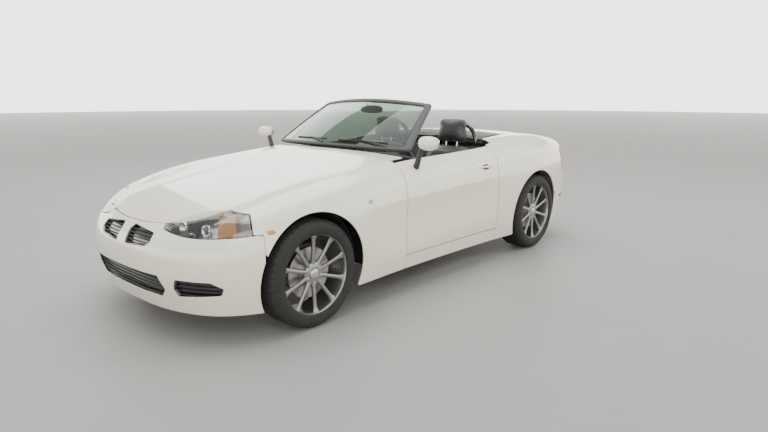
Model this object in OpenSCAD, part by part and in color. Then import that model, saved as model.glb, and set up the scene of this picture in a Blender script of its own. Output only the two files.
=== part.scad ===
// Two-seat roadster convertible with a long bonnet, parked with its soft top folded away.
// +X points forward, +Y to the driver's left and +Z up. The origin is on the ground, at the
// middle of the length and width.

/* [Overall] */
// Length from the nose to the tail
body_length = 4090; // [3800:10:4400]
// Width across the wheel arches, without the mirrors
body_width = 1780; // [1650:10:1900]
// Height of the rear deck, which the bonnet and the waist follow
deck_height = 1000; // [940:5:1060]
// Ground to the lower edge of the body sides
sill_height = 168; // [140:1:200]

/* [Wheels] */
// Distance between the axles
wheelbase = 2495; // [2350:5:2650]
// Nose to the front axle
front_overhang = 740; // [680:5:800]
// Distance between the middles of the front tyres
front_track = 1475; // [1440:5:1510]
// Distance between the middles of the rear tyres
rear_track = 1525; // [1490:5:1560]
// Outer radius of a tyre
tyre_radius = 317; // [295:1:325]
// Width of a tyre
tyre_width = 225; // [195:5:245]
// Radius of the rim where the tyre sits on it
rim_radius = 229; // [203:1:236]
// Number of spokes in a wheel
spoke_count = 10; // [5:1:14]
// Width of a spoke
spoke_width = 24; // [14:1:32]
// Radius of a brake disc
disc_radius = 150; // [130:1:165]
// Space between a tyre and the edge of its arch
arch_space = 45; // [38:1:60]

/* [Panels] */
// Width of the gaps between panels
shut_gap = 6; // [4:0.5:8]
// Thickness of the fixed outer panels
skin = 8; // [5:1:12]
// Thickness of the bonnet and the boot lid, with their frames
lid_thickness = 22; // [15:1:30]
// Thickness of a door, with its inner trim
door_thickness = 130; // [124:1:150]
// Front axle to the front edge of the doors
front_shut_distance = 800; // [740:5:860]
// Rear edge of the doors to the rear axle
rear_shut_distance = 595; // [560:5:650]
// Ground to the lower edge of the doors
door_bottom = 268; // [230:1:300]
// Half width of the bonnet at its rear edge
bonnet_half_width = 680; // [640:5:710]
// Front axle to the rear edge of the bonnet
bonnet_rear_distance = 710; // [660:5:730]
// Nose to the front edge of the bonnet
bonnet_setback = 100; // [70:5:130]
// Half width of the boot lid
boot_half_width = 585; // [540:5:610]
// Rear axle to the front edge of the boot lid, forward
boot_front_offset = 40; // [20:5:80]
// Door hinge axis ahead of the front edge of the door
hinge_ahead = 80; // [70:1:95]
// Door hinge axis inside the widest line of the body
hinge_inset = 45; // [42:1:52]

/* [Cabin] */
// Ground to the underside of the floor
floor_height = 180; // [160:1:200]
// Half width of the tunnel between the seats
tunnel_half_width = 95; // [80:1:110]
// Middle of the car to the middle of a seat
seat_offset = 365; // [340:5:380]
// Width of a seat
seat_width = 480; // [440:5:510]
// Radius of the steering wheel
wheel_rim_radius = 183; // [170:1:190]
// Ground to the top of the windscreen frame
screen_top = 1290; // [1240:5:1330]
// Width of the windscreen frame at its pillars
pillar_width = 46; // [36:1:60]

/* [Hidden] */
$fn = 48;

body_white = "#E9E8DF";
trim_black = "#1B1C1E";
alloy = "#B9BCC0";
steel = "#6E7276";

front_axle_x = body_length/2 - front_overhang;
rear_axle_x = front_axle_x - wheelbase;
arch_radius = tyre_radius + arch_space;
half_length = body_length/2;
half_width_max = body_width/2;
door_front = front_axle_x - front_shut_distance;
door_rear = rear_axle_x + rear_shut_distance;
bonnet_rear = front_axle_x - bonnet_rear_distance;
bonnet_front = half_length - bonnet_setback;
boot_front = rear_axle_x + boot_front_offset;
bulkhead_x = door_rear - 155;
bulkhead_top = 880;
hoop_top = 1115;
half_gap = shut_gap/2;

// ---- Body surface ----
// Shares of deck_height and of half the body width at even stations from the tail to the nose.
centre_line = [.885, .945, .985, .995, .985, .965, .955, .955, .960, .950, .910, .862, .800, .728, .600];
shoulder_line = [.835, .885, .915, .925, .912, .895, .880, .870, .862, .845, .815, .785, .742, .665, .540];
plan_line = [.86, .945, .985, 1.008, .985, .962, .952, .950, .950, .955, .975, .990, .965, .905, .80];
// Distances ahead of and behind the middle, at heights 100 mm apart from 100 mm up.
nose_line = [1962, 1990, 2028, 2049, 2046, 2019, 1967, 1880, 1760];
tail_line = [1938, 1958, 2007, 2036, 2038, 2026, 2015, 2014, 2020, 2028];
line_length = 4090;
line_pitch = 100;
// Height that the rays of the side panels start from
hip_height = 560;
// Distance along the side that stands for one degree of the fans round nose and tail
fan_step = 8;

function lerp(a, b, f) = a + (b - a)*f;
function steps(a, b, n) = [for (i = [0:n]) lerp(a, b, i/n)];
function bump(d, w) = exp(-d*d/(w*w));
function smax(a, b, k) = let (h = max(k - abs(a - b), 0)) max(a, b) + h*h/(4*k);
function ramp(x, a, b) = let (f = max(0, min(1, (x - a)/(b - a)))) f*f*(3 - 2*f);
function bspline(t, u) =
    let (n = len(t), c = max(0, min(n - 1.001, u)), i = floor(c), f = c - i,
         a = t[max(0, i - 1)], b = t[i], d = t[min(n - 1, i + 1)], e = t[min(n - 1, i + 2)])
    (a*pow(1 - f, 3) + b*(3*f*f*f - 6*f*f + 4) + d*(-3*f*f*f + 3*f*f + 3*f + 1) + e*f*f*f)/6;
function station(x) = (x/body_length + .5)*(len(plan_line) - 1);
function plan_width(x) = bspline(plan_line, station(x))*half_width_max;

// Depth of the hollow along the flank, between an upper and a lower crease
function flank_hollow(x, z) =
    let (f = (front_axle_x - x)/wheelbase,
         low = 225 + 190*f, high = 622 + 75*f,
         v = max(0, min(1, (z - low)/(high - low))))
    16*sin(180*pow(v, 1.35))*ramp(f, .13, .26)*(1 - ramp(f, .66, .82));
function half_width(x, z) =
    let (w = plan_width(x), zs = bspline(shoulder_line, station(x))*deck_height,
         waist = .56*zs + 60, up = max(0, z - waist)/(zs - waist), dn = max(0, waist - z)/(waist - 150))
    w - 55*up*up - 38*dn*dn - flank_hollow(x, z);
function top_height(x, y) =
    let (c = bspline(centre_line, station(x))*deck_height,
         s = bspline(shoulder_line, station(x))*deck_height)
    c + (s - c)*pow(min(1.3, abs(y)/plan_width(x)), 2.4)
    + 16*bump(x - front_axle_x, 420)*bump(abs(y) - .72*half_width_max, 150)
    + 20*bump(x - rear_axle_x, 450)*bump(abs(y) - .775*half_width_max, 140);
function nose_x(y, z) =
    body_length/line_length*bspline(nose_line, z/line_pitch - 1) - 330*pow(abs(y)/(.955*half_width_max), 3.0);
function tail_x(y, z) =
    -body_length/line_length*bspline(tail_line, z/line_pitch - 1) + 240*pow(abs(y)/(.955*half_width_max), 3.2);
function field(x, y, z) =
    let (side = smax(z - top_height(x, y), abs(y) - half_width(x, z), 110))
    smax(smax(side, x - nose_x(y, z), 150), tail_x(y, z) - x, 110);

// Point where a ray from c along d is t inside the surface
function hit(c, d, t, lo = 0, hi = 2600, n = 20) =
    n == 0 ? c + d*(lo + hi)/2 :
    let (m = (lo + hi)/2, p = c + d*m)
    field(p[0], p[1], p[2]) < -t ? hit(c, d, t, m, hi, n - 1) : hit(c, d, t, lo, m, n - 1);
// Along the side: u runs forward, v is millimetres below or degrees above the hips
function side_point(u, v, t) =
    let (z = hip_height + min(v, 0), p = max(v, 0),
         x = max(rear_axle_x, min(front_axle_x, u)), a = (u - x)/fan_step)
    hit([x, 0, z], [sin(a)*cos(p), cos(a)*cos(p), sin(p)], t);
// Round the nose (end 1) or tail (end -1): a is degrees from straight ahead, z the height
function fan_point(end, a, z, t) =
    hit([end > 0 ? front_axle_x : rear_axle_x, 0, z], [end*cos(a), sin(a), 0], t);
function top_point(x, y, t) = hit([x, y, 300], [0, 0, 1], t);
// Height of the body surface over a point of the plan
function surface_z(x, y) = top_point(x, y, 0)[2];
// Distance of the body surface from the middle plane
function surface_y(x, z) = hit([x, 0, z], [0, 1, 0], 0)[1];

// ---- Helpers ----
// Closed solid between two grids of points, the first of which faces outwards
module shell(outer, inner) {
    m = len(outer);
    n = len(outer[0]);
    pts = [for (g = [outer, inner]) for (r = g) for (p = r) p];
    function id(k, i, j) = (k*m + i)*n + j;
    function quad(a, b, c, d) = [[a, b, c], [a, c, d]];
    faces = concat(
        [for (i = [0:m - 2]) for (j = [0:n - 2])
            each quad(id(0, i, j), id(0, i, j + 1), id(0, i + 1, j + 1), id(0, i + 1, j))],
        [for (i = [0:m - 2]) for (j = [0:n - 2])
            each quad(id(1, i + 1, j), id(1, i + 1, j + 1), id(1, i, j + 1), id(1, i, j))],
        [for (i = [0:m - 2])
            each quad(id(0, i, 0), id(0, i + 1, 0), id(1, i + 1, 0), id(1, i, 0))],
        [for (i = [0:m - 2])
            each quad(id(0, i + 1, n - 1), id(0, i, n - 1), id(1, i, n - 1), id(1, i + 1, n - 1))],
        [for (j = [0:n - 2])
            each quad(id(0, 0, j + 1), id(0, 0, j), id(1, 0, j), id(1, 0, j + 1))],
        [for (j = [0:n - 2])
            each quad(id(0, m - 1, j), id(0, m - 1, j + 1), id(1, m - 1, j + 1), id(1, m - 1, j))]);
    polyhedron(pts, faces);
}
module side_shell(us, vs, t) {
    shell([for (v = vs) [for (u = us) side_point(u, v, 0)]],
          [for (v = vs) [for (u = us) side_point(u, v, t)]]);
}
module top_shell(xs, ys, t, sink = 0) {
    shell([for (x = xs) [for (y = ys) top_point(x, y, sink)]],
          [for (x = xs) [for (y = ys) top_point(x, y, sink + t)]]);
}
// Shell round the nose or tail between two heights that depend on the angle. The inner edge is
// drop lower than the outer one.
module fan_shell(end, angles, low, high, rows, t, drop = 0) {
    function at(a, j, s, d) = fan_point(end, a, lerp(low(a), high(a) - d, j/rows), s);
    function grid(s, d) = end > 0 ?
        [for (a = angles) [for (j = [0:rows]) at(a, j, s, d)]] :
        [for (j = [0:rows]) [for (a = angles) at(a, j, s, d)]];
    shell(grid(0, 0), grid(t, drop));
}
// Wedge round an axle, from radius 300 outwards, used to cut panels
module fan_wedge(end, columns) {
    function ring(r) = [for (c = columns) [for (z = [c[1], c[2]]) [r*cos(c[0]), r*sin(c[0]), z]]];
    translate([end > 0 ? front_axle_x : rear_axle_x, 0, 0])
        mirror([end > 0 ? 0 : 1, 0, 0]) shell(ring(1300), ring(300));
}
module both_sides() {
    children();
    mirror([0, 1, 0]) children();
}
// Turns a shape drawn along +Z so that it points along +Y
module across() {
    rotate([-90, 0, 0]) children();
}
// Plate drawn as a side view in X and Z, spread evenly about the middle plane
module side_profile(points, width) {
    rotate([90, 0, 0]) translate([0, 0, -width/2]) linear_extrude(width) polygon(points);
}
module box_between(a, b) {
    translate(a) cube(b - a);
}
module tube_between(a, b, r) {
    d = b - a;
    l = norm(d);
    translate(a) rotate([0, acos(d[2]/l), atan2(d[1], d[0])]) cylinder(h = l, r = r);
}
module arch_cut(axle_x) {
    translate([axle_x, 0, tyre_radius]) across() cylinder(h = 1300, r = arch_radius, $fn = 96);
}

// ---- Seams ----
function bonnet_edge(x, g) =
    let (s = max(0, min(1, (x - bonnet_rear)/(bonnet_front + g - bonnet_rear))))
    (bonnet_half_width + g)*(1 - .1*pow(s, 1.6))*pow(max(0, 1 - pow(s, 9)), 1/2.2);
module bonnet_region(g) {
    front = bonnet_front + g;
    xs = concat(steps(bonnet_rear - g, front - 460, 8), [for (a = [30:10:90]) front - 460*(1 - sin(a))]);
    edge = [for (x = xs) [x, bonnet_edge(x, g)]];
    translate([0, 0, 400]) linear_extrude(700)
        polygon(concat([for (p = edge) p], [for (i = [len(edge) - 2:-1:0]) [edge[i][0], -edge[i][1]]]));
}
// Height at which the surface round the nose, a degrees from straight ahead, passes under the bonnet
function bonnet_meets(a, g, lo = 560, hi = 740, n = 12) =
    let (m = (lo + hi)/2, p = fan_point(1, a, m, 0))
    n == 0 ? m :
    abs(p[1]) < bonnet_edge(p[0], g) && p[0] < bonnet_front + g ? bonnet_meets(a, g, lo, m, n - 1)
                                                                : bonnet_meets(a, g, m, hi, n - 1);
lamp_inner = 27;
lamp_outer = 64;
bumper_end = 68;
function lamp_bottom(a) = 592 + (abs(a) < 45 ? 30 : 10)*pow((abs(a) - 45)/19, 2);
function lamp_top(a) = 712 - 82*pow(abs(55 - abs(a))/29, 1.6);
rear_lamp_inner = 34;
rear_lamp_outer = 59;
bumper_top = 642;
function rear_lamp_top(a) = 852 - 24*pow((abs(a) - 40)/19, 2);
// Region of the boot lid: a plan outline and an outline seen from behind, both grown by g
module boot_region(g) {
    w = boot_half_width + g;
    intersection() {
        translate([0, 0, 500]) linear_extrude(700) polygon([
            [boot_front + g, -w + 20], [boot_front + g, w - 20], [boot_front - 300, w],
            [-half_length - 60, w], [-half_length - 60, -w], [boot_front - 300, -w]]);
        translate([-half_length - 100, 0, 0]) rotate([90, 0, 90]) linear_extrude(1200) polygon([
            [-w + 70, bumper_top - g], [w - 70, bumper_top - g], [w - 45, 760], [w, 900],
            [w, 1200], [-w, 1200], [-w, 900], [-w + 45, 760]]);
    }
}

// ---- Fixed structure ----
module floor_pan() {
    color(steel) {
        difference() {
            box_between([bulkhead_x + 22, -640, floor_height], [bonnet_rear + 48, 640, floor_height + 10]);
            box_between([bulkhead_x, -tunnel_half_width, 0], [bonnet_rear + 60, tunnel_half_width, 400]);
        }
        difference() {
            box_between([bulkhead_x + 22, -tunnel_half_width, floor_height],
                        [bonnet_rear + 48, tunnel_half_width, floor_height + 150]);
            box_between([bulkhead_x, 8 - tunnel_half_width, 0],
                        [bonnet_rear + 60, tunnel_half_width - 8, floor_height + 142]);
        }
    }
}
// Space that the tunnel leaves under a bulkhead
module tunnel_gap(x) {
    box_between([x - 1, -tunnel_half_width, floor_height - 1], [x + 40, tunnel_half_width, floor_height + 150]);
}
module front_bulkhead() {
    x = bonnet_rear + 50;
    color(steel) {
        difference() {
            box_between([x, -600, floor_height], [x + 10, 600, 860]);
            tunnel_gap(x);
        }
        both_sides() {
            box_between([x - 35, 600, floor_height + 10], [x + 10, 765, 790]);
            box_between([hinge_x + 22, 765, 360], [x + 10, hinge_y + 12, 740]);
            for (z = hinge_heights) {
                for (s = [-1, 1]) {
                    translate([hinge_x, hinge_y - 12, z + s*22 - 4]) cube([40, 24, 8]);
                    translate([hinge_x, hinge_y, z + s*22 - 4]) cylinder(h = 8, r = 12);
                }
                translate([hinge_x, hinge_y, z - 22]) cylinder(h = 44, r = 6);
            }
        }
    }
}
hinge_x = door_front + hinge_ahead;
hinge_y = plan_width(door_front) - hinge_inset;
hinge_heights = [400, 690];
module rear_bulkhead() {
    color(steel) {
        difference() {
            box_between([bulkhead_x, -600, floor_height], [bulkhead_x + 20, 600, bulkhead_top]);
            tunnel_gap(bulkhead_x);
        }
        both_sides() box_between([bulkhead_x, 600, floor_height + 11], [door_rear - 9, 700, bulkhead_top]);
    }
}
module sills() {
    us = steps(door_rear - half_gap + 3, door_front + half_gap - 3, 10);
    zs = [sill_height, sill_height + 45, door_bottom - shut_gap];
    color(body_white) both_sides()
        shell([for (z = zs) [for (u = us) side_point(u, z - hip_height, 0)]],
              [for (z = zs) [for (u = us) [u, 645, z]]]);
}
module front_subframe() {
    color(steel) both_sides() {
        box_between([front_axle_x - 70, 0, 185], [front_axle_x + 70, 432, 235]);
        box_between([bonnet_rear + 62, 345, 300], [1800, 432, 380]);
        box_between([front_axle_x - 30, 345, 235], [front_axle_x + 30, 432, 300]);
        tube_between([front_axle_x, 432, 200], [front_axle_x, front_pivot_y - 26, 200], 14);
        translate([front_axle_x, 530, 214]) cylinder(h = 460, r = 26);
    }
}
front_pivot_y = front_track/2 - 38;
module rear_axle() {
    color(steel) {
        translate([rear_axle_x, -120, tyre_radius]) across() cylinder(h = 240, r = 78);
        box_between([rear_axle_x + 110, -420, 264], [rear_axle_x + 190, 420, 320]);
        box_between([rear_axle_x + 60, -90, 280], [rear_axle_x + 112, 90, 312]);
        both_sides() {
            translate([rear_axle_x, 119, tyre_radius]) across() cylinder(h = rear_hub_y - 119, r = 15);
            translate([rear_axle_x, rear_hub_y - 35, tyre_radius]) across() cylinder(h = 30, r = 52);
            tube_between([rear_axle_x + 150, 415, 280], [rear_axle_x, rear_hub_y - 20, 270], 14);
        }
    }
}
rear_hub_y = rear_track/2 - 20;
module engine_block() {
    color(steel) box_between([bonnet_rear + 110, -200, 250], [front_axle_x + 60, 200, 760]);
}
module radiator() {
    color(trim_black) box_between([half_length - 230, -330, 230], [half_length - 195, 330, 590]);
}
module exhaust() {
    bend = rear_axle_x + 270;
    color(steel) {
        tube_between([bonnet_rear + 100, 45, 232], [bend, 45, 232], 28);
        tube_between([bend, 45, 232], [bend - 150, 250, 222], 28);
        tube_between([bend - 150, 250, 222], [rear_axle_x - 470, 250, 222], 28);
        for (p = [[bend, 45, 232], [bend - 150, 250, 222]]) {
            translate(p) sphere(r = 28.5);
        }
        box_between([-half_length + 110, -330, 192], [rear_axle_x - 465, 330, 330]);
        for (y = [250, 330]) {
            translate([-half_length + 60, y, 238]) rotate([0, 90, 0]) difference() {
                cylinder(h = 56, r = 32);
                translate([0, 0, -1]) cylinder(h = 50, r = 28);
            }
        }
    }
}
// Curved liner and inner wall over one wheel
module liner(axle_x, inner_y, outer_y) {
    translate([axle_x, inner_y, tyre_radius]) across() {
        difference() {
            cylinder(h = outer_y - inner_y, r = arch_radius + 14, $fn = 96);
            translate([0, 0, -1]) cylinder(h = outer_y, r = arch_radius + 10, $fn = 96);
            translate([-600, -50, -1]) cube([1200, 700, 700]);
        }
        difference() {
            cylinder(h = 4, r = arch_radius + 12, $fn = 96);
            translate([-600, -70, -1]) cube([1200, 700, 10]);
        }
    }
}
module arch_liners() {
    color(trim_black) both_sides() {
        liner(front_axle_x, 440, 765);
        liner(rear_axle_x, rear_track/2 - tyre_width/2 - 30, 770);
    }
}

// ---- Outer panels ----
module front_bumper() {
    angles = concat(steps(-bumper_end, -lamp_inner, 9), steps(-24, 24, 12), steps(lamp_inner, bumper_end, 9));
    low = function(a) sill_height;
    high = function(a) abs(a) < lamp_inner ? bonnet_meets(a, half_gap) : lamp_bottom(a) - half_gap;
    color(body_white) difference() {
        fan_shell(1, angles, low, high, 11, skin, 2*skin);
        both_sides() arch_cut(front_axle_x);
        both_sides() grille_block(0);
        lower_intake(0);
        both_sides() side_intake(0);
    }
}
// Openings of the nose, drawn through the whole bumper and made smaller by inset
module grille_block(inset) {
    translate([half_length - 300, 0, 0]) rotate([90, 0, 90]) linear_extrude(400) polygon([
        [48 + inset, 506 + inset], [262 - inset, 522 + inset], [292 - inset, 548], [284 - inset, 592 - inset],
        [62 + inset, 610 - inset], [42 + inset, 584]]);
}
module lower_intake(inset) {
    translate([half_length - 300, 0, 0]) rotate([90, 0, 90]) linear_extrude(400) polygon([
        [-350 + inset, 250 + inset], [350 - inset, 250 + inset], [395 - inset, 300], [360 - inset, 375 - inset],
        [-360 + inset, 375 - inset], [-395 + inset, 300]]);
}
module side_intake(inset) {
    translate([half_length - 420, 0, 0]) rotate([90, 0, 90]) linear_extrude(500) polygon([
        [470 + inset, 268 + inset], [690 - inset, 290 + inset], [705 - inset, 330], [660 - inset, 365 - inset],
        [480 + inset, 368 - inset], [455 + inset, 310]]);
}
// Slatted inserts that sit in the openings, a little behind the surface
module front_grilles() {
    color(trim_black) {
        both_sides() {
            intersection() {
                grille_block(1);
                insert_sheet(2, 20, 498, 597);
            }
            intersection() {
                side_intake(1);
                insert_sheet(26, 50, 262, 372);
            }
        }
        intersection() {
            lower_intake(1);
            insert_sheet(-34, 34, 245, 380);
        }
    }
}
module insert_sheet(from, to, low, high) {
    angles = steps(from, to, 8);
    zs = steps(low, high, 3);
    shell([for (a = angles) [for (z = zs) fan_point(1, a, z, skin + 10)]],
          [for (a = angles) [for (z = zs) fan_point(1, a, z, skin + 18)]]);
}
module headlights() {
    angles = steps(lamp_inner + .3, lamp_outer, 12);
    low = function(a) lamp_bottom(a) + half_gap;
    high = function(a) lamp_top(a) - half_gap;
    color("#DDE3E4") both_sides() difference() {
        fan_shell(1, angles, low, high, 4, 45);
        bonnet_region(half_gap + lid_thickness);
    }
}
module front_fender_left() {
    us = concat(steps(door_front + half_gap, front_axle_x, 14), steps(front_axle_x + 45, front_axle_x + 515, 12));
    vs = concat(steps(sill_height - hip_height, 0, 7), steps(5, 38, 8));
    color(body_white) difference() {
        side_shell(us, vs, skin);
        arch_cut(front_axle_x);
        bonnet_region(half_gap);
        translate([door_front - 100, 0, 400]) cube([bonnet_rear - door_front + 102, bonnet_half_width + half_gap, 900]);
        fan_wedge(1, concat([[0, 100, 716], [lamp_inner + 2, 100, 716]],
            [for (a = steps(30, lamp_outer + .3, 9)) [a, 100, lamp_top(a) + half_gap]],
            [[lamp_outer + .6, 100, lamp_bottom(lamp_outer) + half_gap],
             [bumper_end + .3, 100, lamp_bottom(bumper_end) + half_gap]]));
    }
}
module rear_quarter_left() {
    us = concat(steps(rear_axle_x - 520, rear_axle_x - 40, 12), steps(rear_axle_x, door_rear - half_gap, 8));
    vs = concat(steps(sill_height - hip_height, 0, 6), steps(5, 48, 10));
    color(body_white) difference() {
        side_shell(us, vs, skin);
        arch_cut(rear_axle_x);
        box_between([rear_axle_x - 600, 0, 0], [rear_axle_x, 1000, tyre_radius]);
        boot_region(half_gap);
        cabin_region(half_gap);
        fan_wedge(-1, concat([[0, 100, bumper_top + half_gap], [rear_lamp_inner - .6, 100, bumper_top + half_gap]],
            [for (a = steps(rear_lamp_inner - .3, rear_lamp_outer + .3, 6)) [a, 100, rear_lamp_top(a) + half_gap]],
            [[rear_lamp_outer + .6, 100, bumper_top + half_gap], [bumper_end + .3, 100, bumper_top + half_gap]]));
    }
}
// Opening of the cabin and of the soft top's well, seen from above
module cabin_region(g) {
    well = boot_half_width - 20 + g;
    side = plan_width(door_rear) - door_thickness - 15 + g;
    translate([0, 0, 600]) linear_extrude(700) polygon([
        [door_rear + 50, 0], [door_rear + 50, side], [bulkhead_x + 60, side - 20], [bulkhead_x - 20, well],
        [boot_front - 10, well], [boot_front - 10, 0]]);
}
module rear_bumper() {
    angles = steps(-bumper_end, bumper_end, 26);
    low = function(a) lerp(282, sill_height + 20, ramp(abs(a), 30, 50));
    high = function(a) bumper_top - half_gap;
    color(body_white) difference() {
        fan_shell(-1, angles, low, high, 8, skin);
        both_sides() arch_cut(rear_axle_x);
        boot_region(half_gap);
    }
}
module tail_lights() {
    angles = steps(rear_lamp_inner, rear_lamp_outer, 8);
    low = function(a) bumper_top + half_gap;
    high = function(a) rear_lamp_top(a) - half_gap;
    color("#A8161A") both_sides() difference() {
        fan_shell(-1, angles, low, high, 4, 40);
        boot_region(half_gap);
    }
}
plate_width = 520;
plate_height = 112;
plate_z = 500;
module plate_carrier() {
    color(trim_black) difference() {
        box_between([-half_length, -plate_width/2, plate_z - plate_height/2],
                    [-half_length + 6, plate_width/2, plate_z + plate_height/2]);
        both_sides() translate([-half_length - 1, plate_width/2 - 40, plate_z]) rotate([0, 90, 0])
            cylinder(h = 8, r = 3.5);
    }
}

// ---- Windscreen ----
screen_base_x = bonnet_rear - 45;
screen_half_base = 705;
screen_half_top = 560;
function screen_base(a) = [screen_base_x - 225*a*a, screen_half_base*a, .958*deck_height - 22*a*a];
function screen_head(a) = [screen_base_x - 585 - 62*a*a, screen_half_top*a, screen_top - 10 - 38*a*a];
function screen_point(a, b, n) =
    lerp(screen_base(a), screen_head(a), b) + (n + 14*sin(180*b)*(1 - a*a*.5))*[.49, 0, .87];
module screen_sheet(a, b0, b1, top, bottom, na, nb) {
    function grid(n) = [for (s = steps(-a, a, na)) [for (b = steps(b0, b1, nb)) screen_point(s, b, n)]];
    shell(grid(top), grid(bottom));
}
pane_edge = 1 - pillar_width/screen_half_base;
module windscreen_frame() {
    color(trim_black) difference() {
        screen_sheet(1, 0, 1, 10, -18, 14, 8);
        screen_sheet(pane_edge, .035, .93, 40, -60, 14, 6);
    }
}
module windscreen_glass() {
    color([.55, .66, .60, .45]) screen_sheet(pane_edge - .003, .04, .925, 3, -3, 12, 6);
}
module cowl_panel() {
    side = bonnet_half_width - half_gap;
    xs = steps(screen_base_x - 190, bonnet_rear - half_gap, 8);
    ys = steps(-side, side, 14);
    color(body_white) difference() {
        top_shell(xs, ys, skin);
        translate([0, 0, 700]) linear_extrude(500) polygon(concat(
            [for (a = steps(-1.06, 1.06, 12)) screen_base_plan(a)],
            [[screen_base_x - 400, 800], [screen_base_x - 400, -800]]));
    }
}
function screen_base_plan(a) = [screen_base(a)[0] + 26, screen_base(a)[1]];
module wipers() {
    function edge(y, b, n) = [for (s = steps(y, y + 380, 5)) screen_point(s/screen_half_base, b, n)];
    color(trim_black) for (y = [-330, 170]) {
        shell([edge(y, .115, 17), edge(y, .09, 17)], [edge(y, .115, 7), edge(y, .09, 7)]);
    }
}

// ---- Cabin ----
column_tilt = 22;
wheel_centre = [door_front - 470, seat_offset, 790];
module along_column() {
    translate(wheel_centre) rotate([0, column_tilt - 90, 0]) children();
}
module dashboard() {
    color(trim_black) difference() {
        side_profile([[bonnet_rear - 130, 640], [bonnet_rear - 130, 840], [bonnet_rear - 275, 850],
            [bonnet_rear - 330, 900], [bonnet_rear - 430, 888], [bonnet_rear - 470, 800], [bonnet_rear - 440, 700],
            [bonnet_rear - 330, 640]], 1350);
        along_column() translate([0, 0, -400]) cylinder(h = 380, r = 46);
    }
}
module centre_console() {
    color(trim_black) {
        side_profile([[door_rear + 40, floor_height + 151], [bonnet_rear - 250, floor_height + 151],
            [bonnet_rear - 300, 560], [door_front - 560, 520], [door_rear + 250, 470],
            [door_rear + 40, 470]], 180);
        translate([door_front - 560, 0, 500]) cylinder(h = 130, r1 = 16, r2 = 9);
        translate([door_front - 560, 0, 650]) sphere(r = 26);
    }
}
module steering_column() {
    color(trim_black) along_column() translate([0, 0, -380]) cylinder(h = 330, r = 40);
}
module steering_wheel() {
    color(trim_black) along_column() {
        rotate_extrude() translate([wheel_rim_radius - 15, 0]) circle(r = 15);
        translate([0, 0, -40]) cylinder(h = 50, r = 62);
        for (a = [0, 120, 240]) {
            rotate(a + 90) translate([40, -16, -12]) cube([wheel_rim_radius - 55, 32, 12]);
        }
    }
}
seat_x = door_rear + 240;
module seat() {
    color("#26262A") {
        side_profile([[seat_x + 330, 300], [seat_x + 340, 420], [seat_x + 300, 468], [seat_x - 60, 430],
            [seat_x - 95, 380], [seat_x - 80, 300]], seat_width);
        side_profile([[seat_x - 100, 330], [seat_x - 70, 440], [seat_x - 195, 880], [seat_x - 230, 920],
            [seat_x - 290, 900], [seat_x - 330, 870], [seat_x - 260, 440], [seat_x - 225, 330]], seat_width - 20);
        side_profile([[seat_x - 222, 935], [seat_x - 235, 1100], [seat_x - 262, 1128], [seat_x - 318, 1120],
            [seat_x - 330, 1080], [seat_x - 318, 935]], 270);
        for (y = [-55, 55]) {
            translate([seat_x - 265, y, 890]) cylinder(h = 70, r = 7);
        }
        box_between([seat_x - 60, -190, floor_height + 11], [seat_x + 300, 190, 300]);
    }
}
module roll_hoops() {
    hoop = 175;
    bar = 18;
    rise = hoop_top - hoop - bar - bulkhead_top - 1;
    color("#2B2C2F") both_sides()
        translate([bulkhead_x - 8, seat_offset, bulkhead_top + 1]) rotate([90, 0, 90]) linear_extrude(36)
            difference() {
                intersection() {
                    union() {
                        translate([0, rise]) circle(r = hoop + bar);
                        translate([-hoop - bar, 0]) square([2*(hoop + bar), rise]);
                    }
                    translate([-hoop - bar, 0]) square([2*(hoop + bar), rise + hoop + bar]);
                }
                translate([0, rise]) circle(r = hoop - bar);
                translate([bar - hoop, -1]) square([2*(hoop - bar), rise + 1]);
            }
}
module soft_top() {
    well = boot_half_width - 25;
    color("#17181A") top_shell(steps(boot_front + 14, bulkhead_x - 22, 7), steps(-well, well, 12), 85);
}
module boot_tub() {
    low = [-half_length + 120, -510, 400];
    high = [boot_front - 60, 510, 740];
    color(trim_black) difference() {
        box_between(low, high);
        box_between(low + [8, 8, 8], high + [-8, -8, 10]);
    }
}

// ---- Moving panels ----
module bonnet() {
    xs = concat(steps(bonnet_rear - 20, 1650, 10), steps(1690, bonnet_front + 10, 8));
    color(body_white) intersection() {
        top_shell(xs, steps(-710, 710, 18), lid_thickness);
        bonnet_region(-half_gap);
    }
}
// Boot lid: rows run back along the top and then down over the tail
function boot_row(s, y, t) =
    s > 0 ? hit([boot_front + 10 - s, y, hip_height], [0, 0, 1], t) :
    hit([boot_front - 440, y, hip_height], [sin(s), 0, cos(s)], t);
module boot_lid() {
    rows = concat(steps(1, 449, 6), [for (a = [10:10:60]) -a], [-68, -76, -84]);
    ys = steps(-600, 600, 16);
    color(body_white) intersection() {
        shell([for (y = ys) [for (s = rows) boot_row(s, y, 0)]],
              [for (y = ys) [for (s = rows) boot_row(s, y, lid_thickness)]]);
        boot_region(-half_gap);
    }
}
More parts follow.
